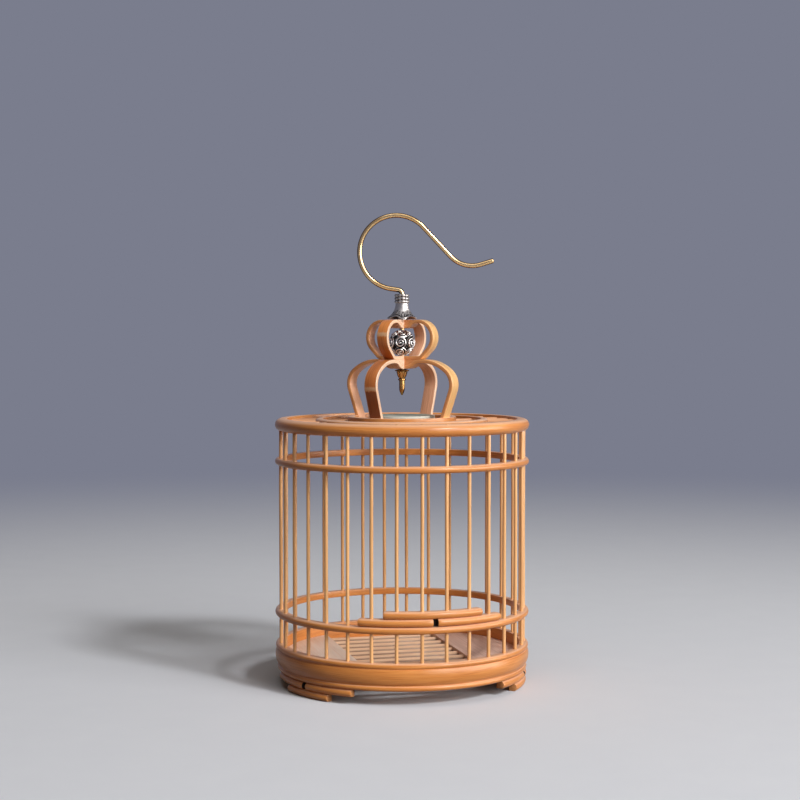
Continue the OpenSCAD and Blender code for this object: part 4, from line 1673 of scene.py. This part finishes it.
    def cap_relief(self, point: Vector) -> float:
        """Height of the cap's casting at a point, from 0 to 1: leaves with veins, dots on the collar, and a
        seat kept at 0 as painted shade.

        Args:
            point: A point of the smooth cap.

        Returns:
            The height.
        """
        # Painted shade: the seat below the skirt gets no relief, so it renders black like the shade under the
        # skirt.
        if point.z < self.skirt_z - self.skirt_bevel / 2:
            return 0.0
        if point.z >= self.neck_z:
            groove = math.hypot(point.x, point.y) < self.collar_d / 2 - 1.25 * self.collar_round
            dots = math.cos(self.collar_dots * math.atan2(point.y, point.x))
            return self.groove_h if groove else self.dot_h[0] + self.dot_h[1] * dots
        edge = self.arch_z(point)
        share = (point.z - edge) / (self.neck_z - edge)
        if share < self.border[1]:
            return 1.0 if share < self.border[0] else self.groove_h
        wave = self.veins[0] * abs(self.leaf(point)) + self.veins[1] * share
        vein = 0.5 + 0.5 * math.cos(2 * math.pi * wave)
        fade = clamp((share - self.vein_fade[0]) / (self.vein_fade[1] - self.vein_fade[0]))
        return vein * (1 - fade) + self.leaf_h * fade

    def bead(self) -> None:
        """The carved bead: a ball with spiral scrolls between rings."""
        low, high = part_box("bead")
        radius = (high.x - low.x) / 2
        half = (high.z - low.z) / 2
        bm = bmesh.new()
        bmesh.ops.create_uvsphere(bm, u_segments=self.bead_sides, v_segments=self.bead_rows, radius=radius)
        relief = bm.verts.layers.float.new("relief")
        scrolls = self.scroll_centres()
        for vert in bm.verts:
            way = vert.co.normalized()
            height = self.scroll_height(way, scrolls)
            vert[relief] = height
            vert.co = way * (radius - self.bead_depth * (1 - height))
            vert.co.z = clamp(vert.co.z, -half, half)
        move(bm, Matrix.Translation((low + high) / 2))
        finish_piece(bm, Place("carved_bead", ("bead",), "silver", "bead"), self.light_silver)

    def scroll_centres(self) -> list[tuple[Vector, float]]:
        """Centres of the scrolls.

        Returns:
            Their directions from the middle of the bead, with the hand of each spiral.
        """
        centres = []
        for latitude, count, shift in self.scroll_rows:
            for index in range(count):
                turn = turned(shift + 360 * index / count) @ turned(-latitude, "Y")
                centres.append((turn @ Vector((1, 0, 0)), 1.0 if index % 2 else -1.0))
        return centres

    def scroll_height(self, way: Vector, scrolls: list[tuple[Vector, float]]) -> float:
        """Height of the carving in a direction, from 0 to 1.

        Args:
            way: Unit direction from the middle of the bead.
            scrolls: Centres and hands of the scrolls.

        Returns:
            The height.
        """
        if abs(way.z) > self.bead_pole:
            return 1.0
        centre, hand = max(scrolls, key=lambda scroll: scroll[0].dot(way))
        angle = math.acos(clamp(centre.dot(way), -1.0))
        if angle > self.scroll_reach:
            gap = math.cos(2 * math.pi * (angle - self.scroll_reach) / self.scroll_gap)
            return self.gap_h[0] + self.gap_h[1] * max(0.0, gap)
        east = Vector((0, 0, 1)).cross(centre).normalized()
        turn = math.atan2(way.dot(centre.cross(east)), way.dot(east))
        spiral = math.cos(2 * math.pi * angle / self.scroll_pitch - hand * turn - self.scroll_phase)
        return clamp(0.5 + self.scroll_steep * spiral)

    def finial(self) -> None:
        """The finial: flower, ribbed cup, ring and pointed pin."""
        low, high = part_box("hook_finial")
        flower_z = high.z - self.flower_h
        cup_z = flower_z - self.cup_h
        core = (self.flower_d - self.petal_d) / 2
        bm = bmesh.new()
        pen = Pen(bm, 0, low.z)
        pen.line(*((share * self.pin_d, low.z + rise * self.pin_point) for share, rise in self.pin_profile))
        pen.line((self.pin_d / 2, cup_z - self.pin_ring_sink * self.pin_ring_t))
        pen.arc(self.pin_d / 2, cup_z, 180, self.pin_ring_steps)
        pen.line(*((share * self.cup_d / 2, cup_z + rise * self.cup_h) for share, rise in self.cup_profile))
        pen.line((core, flower_z + self.flower_round / 2), (core, high.z - self.flower_round),
                 (core - self.flower_round, high.z), (0, high.z))
        revolve(bm)
        for vert in bm.verts:
            if cup_z + self.rib_start * self.cup_h < vert.co.z < flower_z:
                wave = 0.5 + 0.5 * math.cos(self.ribs * math.atan2(vert.co.y, vert.co.x))
                shrink = 1 - wave * self.rib_depth / math.hypot(vert.co.x, vert.co.y)
                vert.co.x *= shrink
                vert.co.y *= shrink
        wide, deep, tall = self.petal_shape
        shape = Matrix.Diagonal((wide * self.petal_d, deep * self.petal_d, tall * self.flower_h, 1))
        shift = Matrix.Translation((0, -core, high.z - self.flower_h / 2))
        for index in range(self.petals):
            part = bmesh.new()
            bmesh.ops.create_uvsphere(part, u_segments=self.petal_sides, v_segments=self.petal_rows,
                                      radius=0.5)
            move(part, turned(360 * index / self.petals) @ shift @ turned(self.petal_tilt, "X") @ shape)
            merge_in(bm, part)
        finish_piece(bm, Place("brass_finial", ("hook_finial",), "brass", "hook"), self.brown_brass)


def heading(angle: float, rise: float) -> Vector:
    """The direction of a light.

    Args:
        angle: Its angle from the door, in degrees towards +X.
        rise: Its height over the floor, in degrees.

    Returns:
        A unit vector towards the light.
    """
    turn, lift = math.radians(angle), math.radians(rise)
    return Vector((math.sin(turn) * math.cos(lift), -math.cos(turn) * math.cos(lift), math.sin(lift)))


def aimed(data: bpy.types.ID, place: Vector, way: Vector) -> bpy.types.Object:
    """Puts a light or a camera into the scene.

    Args:
        data: The light or the camera.
        place: Where it stands.
        way: Where it points.

    Returns:
        The object.
    """
    item = bpy.data.objects.new(data.name, data)
    item.location = place
    item.rotation_mode = "QUATERNION"
    item.rotation_quaternion = way.to_track_quat("-Z", "Y")
    bpy.context.scene.collection.objects.link(item)
    return item


@dataclass
class Studio:
    """Floor, soft lights and the camera of the photograph."""

    distance: float = 549.3 * MM
    azimuth: float = -14.57
    eye_height: float = 116.5 * MM
    pitch: float = -2.29
    focal_px: float = 1640.2
    image_px: float = 800
    axis_px: float = 401.97
    sensor: float = 36
    near: float = 0.01
    far: float = 30
    floor_r: float = 6
    floor_sides: int = 96
    aim_z: float = 0.08
    key_a: float = 31
    sun_rise: float = 38
    sun_power: float = 1.45
    sun_spread: float = 9
    lamp_size: float = 0.7
    box_rise: float = 20
    box_power: float = 7.8
    sheen_a: float = 66
    sheen_rise: float = 10
    sheen_power: float = 11
    overhead_at: tuple[float, float, float] = (-0.1, -0.35, 1)
    overhead_power: float = 2.2
    lamp_tint: Colour = (1, 0.98, 0.95)
    overhead_tint: Colour = (1, 0.99, 0.97)
    backdrop: Colour = srgb(122, 125, 141)
    room: Colour = (0.045, 0.034, 0.024)

    def floor(self) -> None:
        """A wide plain floor, which belongs to the stage."""
        bm = bmesh.new()
        bmesh.ops.create_circle(bm, cap_ends=True, radius=self.floor_r, segments=self.floor_sides)
        mesh = bpy.data.meshes.new("studio_floor")
        bm.to_mesh(mesh)
        bm.free()
        mesh.materials.append(StudioFloor("studio_floor", self.backdrop).material())
        plane = bpy.data.objects.new("studio_floor", mesh)
        bpy.context.scene.collection.objects.link(plane)

    def lamp(self, name: str, way: Vector, power: float, tint: Colour) -> bpy.types.Object:
        """One square soft light, which the camera doesn't see.

        Args:
            name: Name of the light.
            way: Where it stands, from the point that it is aimed at.
            power: Its power in watts.
            tint: Its colour.

        Returns:
            The light's object.
        """
        light = bpy.data.lights.new(name, "AREA")
        light.size = self.lamp_size
        light.energy = power
        light.color = tint
        lamp = aimed(light, Vector((0, 0, self.aim_z)) + way, -way)
        lamp.visible_camera = False
        return lamp

    def lights(self) -> None:
        """A sun, a softbox and a sheen from the right, a weak light from above and a dim room.

        The sheen shows in reflections only, and leaves matt surfaces as they are.
        """
        sun = bpy.data.lights.new("key", "SUN")
        sun.energy = self.sun_power
        sun.angle = math.radians(self.sun_spread)
        aimed(sun, Vector(), -heading(self.key_a, self.sun_rise))
        self.lamp("softbox", heading(self.key_a, self.box_rise), self.box_power, self.lamp_tint)
        sheen = self.lamp("sheen", heading(self.sheen_a, self.sheen_rise), self.sheen_power, self.lamp_tint)
        sheen.visible_diffuse = False
        self.lamp("overhead", Vector(self.overhead_at), self.overhead_power, self.overhead_tint)
        world = bpy.data.worlds.new("room")
        bpy.context.scene.world = world
        world.use_nodes = True
        graph = Graph(world.node_tree)
        tone = graph.mix(graph.seen(), self.room, self.backdrop)
        graph.feed(world.node_tree.nodes["Background"].inputs["Color"], tone)

    def camera(self) -> None:
        """The camera, at the photograph's place and with its lens."""
        data = bpy.data.cameras.new("photo_camera")
        data.sensor_width = self.sensor
        data.lens = self.focal_px / self.image_px * self.sensor
        data.clip_start = self.near
        data.clip_end = self.far
        angle = math.radians(self.azimuth)
        place = Vector((self.distance * math.sin(angle), -self.distance * math.cos(angle), self.eye_height))
        yaw = angle + math.atan((self.axis_px - self.image_px / 2) / self.focal_px)
        bpy.context.scene.camera = aimed(data, place, -heading(math.degrees(yaw), -self.pitch))

    def build(self) -> None:
        """Builds the whole studio and sets the view transform."""
        self.floor()
        self.lights()
        self.camera()
        bpy.context.scene.view_settings.view_transform = "Standard"


def build_cage() -> None:
    """Builds and dresses hoops, rods, floor, feet and door rails."""
    hoop = Bamboo("bamboo_hoop", Grain.ROUND, top_share=0.6).material()
    ring = Bamboo("bamboo_ring", Grain.ROUND, amber=srgb(212, 140, 80), brown=srgb(180, 110, 58),
                  top_share=0.8)
    cut = CutBamboo("bamboo_cut", Grain.ROUND, pale=srgb(214, 150, 94), brown=srgb(160, 96, 50)).material()
    # Near-black painted shade for the notches of the feet and the lower door rail.
    stain = Bamboo("bamboo_notch_shade", Grain.ROUND, pale=srgb(44, 24, 13), amber=srgb(32, 17, 9),
                   brown=srgb(22, 11, 6), gloss=0.6, coat=0.0)
    rod = Bamboo("bamboo_rod", Grain.UPRIGHT, coat=0.7, pale=srgb(254, 206, 146), amber=srgb(246, 188, 126),
                 brown=srgb(220, 154, 96), fibre=0.16 * MM, reach=22 * MM)
    spoke = Bamboo("bamboo_spoke", Grain.RADIAL, pale=srgb(238, 190, 150), amber=srgb(226, 168, 124),
                   brown=srgb(196, 132, 90), fibre=0.16 * MM)
    matt = {"gloss": 0.42, "coat": 0.1}
    wide = {"fibre": 0.3 * MM, "reach": 18 * MM}
    # The two boards are copies of one bamboo: the near-white left tone is painted light, and the darker,
    # greyer right tone is painted shade with a painted grey reflection.
    left = Bamboo("board_left", Grain.LENGTHWISE, pale=srgb(255, 242, 230), amber=srgb(255, 235, 218),
                  brown=srgb(245, 212, 186), **wide, **matt)
    right = Bamboo("board_right", Grain.LENGTHWISE, pale=srgb(248, 218, 202), amber=srgb(234, 197, 180),
                   brown=srgb(194, 157, 138), **wide, **matt)
    low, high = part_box("floor_slats")
    # The slats get painted shade on their lower part.
    slat = Bamboo("slat", Grain.SIDEWAYS, pale=srgb(252, 220, 190), amber=srgb(246, 206, 172),
                  brown=srgb(224, 176, 138), fibre=0.2 * MM, reach=14 * MM, painted_shade_z=low.z,
                  painted_shade_h=PAINTED_SHADE_SHARE * (high.z - low.z), **matt)
    HoopWork(hoop, ring.material(), PolishedPlate("plate_grey_green").material()).build()
    RodWork((rod.material(), cut), (spoke.material(), cut), random.Random(SEED)).build()
    FloorWork(left.material(), right.material(), slat.material()).build()
    ArcWork((hoop, cut, stain.material())).build()


def build_claw() -> None:
    """Builds and dresses the claw and the hook."""
    # The honey strips' sawn edges are a darker orange than the others: painted shade for the edges that face
    # away from the light.
    honey = {"pale": srgb(253, 219, 164), "amber": srgb(245, 197, 132), "brown": srgb(208, 142, 80),
             "edge": srgb(222, 152, 98)}
    tawny = {"pale": srgb(251, 174, 102), "amber": srgb(238, 150, 78), "brown": srgb(198, 108, 46)}
    russet = {"pale": srgb(222, 146, 84), "amber": srgb(202, 122, 64), "brown": srgb(160, 86, 40)}

    def skin(name: str, cross: Crossing, tones: dict[str, Colour], **node: float) -> StripSkin:
        """The finish of a strip."""
        return StripSkin(name, Grain.STRIP, width=cross.width, thickness=cross.thickness, fibre=0.2 * MM,
                         reach=12 * MM, **tones, **node)

    right, left = STRIP_TURNS
    legs = [Strip("leg_strip_front_right", "claw_leg_strip_a", right, True,
                  skin("strip_leg_honey", WAIST, honey, node_bloom=0.2), 94.5 * MM),
            Strip("leg_strip_front_left", "claw_leg_strip_b", left, False,
                  skin("strip_leg_russet", WAIST, russet, node_darkens=0.85), 98.6 * MM)]
    gourds = [Strip("gourd_strip_front_right", "claw_gourd_strip_a", right, True,
                    skin("strip_gourd_honey", CROWN, honey, node_bloom=0.3), 111.5 * MM),
              Strip("gourd_strip_front_left", "claw_gourd_strip_b", left, False,
                    skin("strip_gourd_tawny", CROWN, tawny, node_darkens=0.35), 116.2 * MM)]
    # The saddle arms along the honey strips take that darker edge tone as painted shade; the arms along the
    # other strips keep a pale sawn tone.
    saddles = [CutBamboo("saddle_honey_shaded", Grain.ROUND, pale=honey["edge"], brown=srgb(200, 128, 76)),
               CutBamboo("saddle_tawny", Grain.ROUND, pale=srgb(248, 212, 184), brown=srgb(230, 182, 146))]
    ClawWork(legs, gourds, [saddle.material() for saddle in saddles]).build()
    # The third colour of each brass is the painted shade at its outline; the finial's is the darker one.
    finishes = (Brass("brass_wire"), AntiqueSilver("antique_silver_cap"),
                Brass("brass_finial", srgb(232, 184, 112), srgb(176, 120, 62), srgb(66, 38, 16)),
                AntiqueSilver("antique_silver_bead", bright=srgb(240, 236, 232), rub=-0.3))
    HookWork(*(finish.material() for finish in finishes)).build()


def main() -> None:
    """Builds the cage, its claw and hook, and the studio around it."""
    logging.basicConfig(level=logging.INFO, format="%(name)s: %(message)s")
    build_cage()
    build_claw()
    Studio().build()


if __name__ == "__main__":
    main()
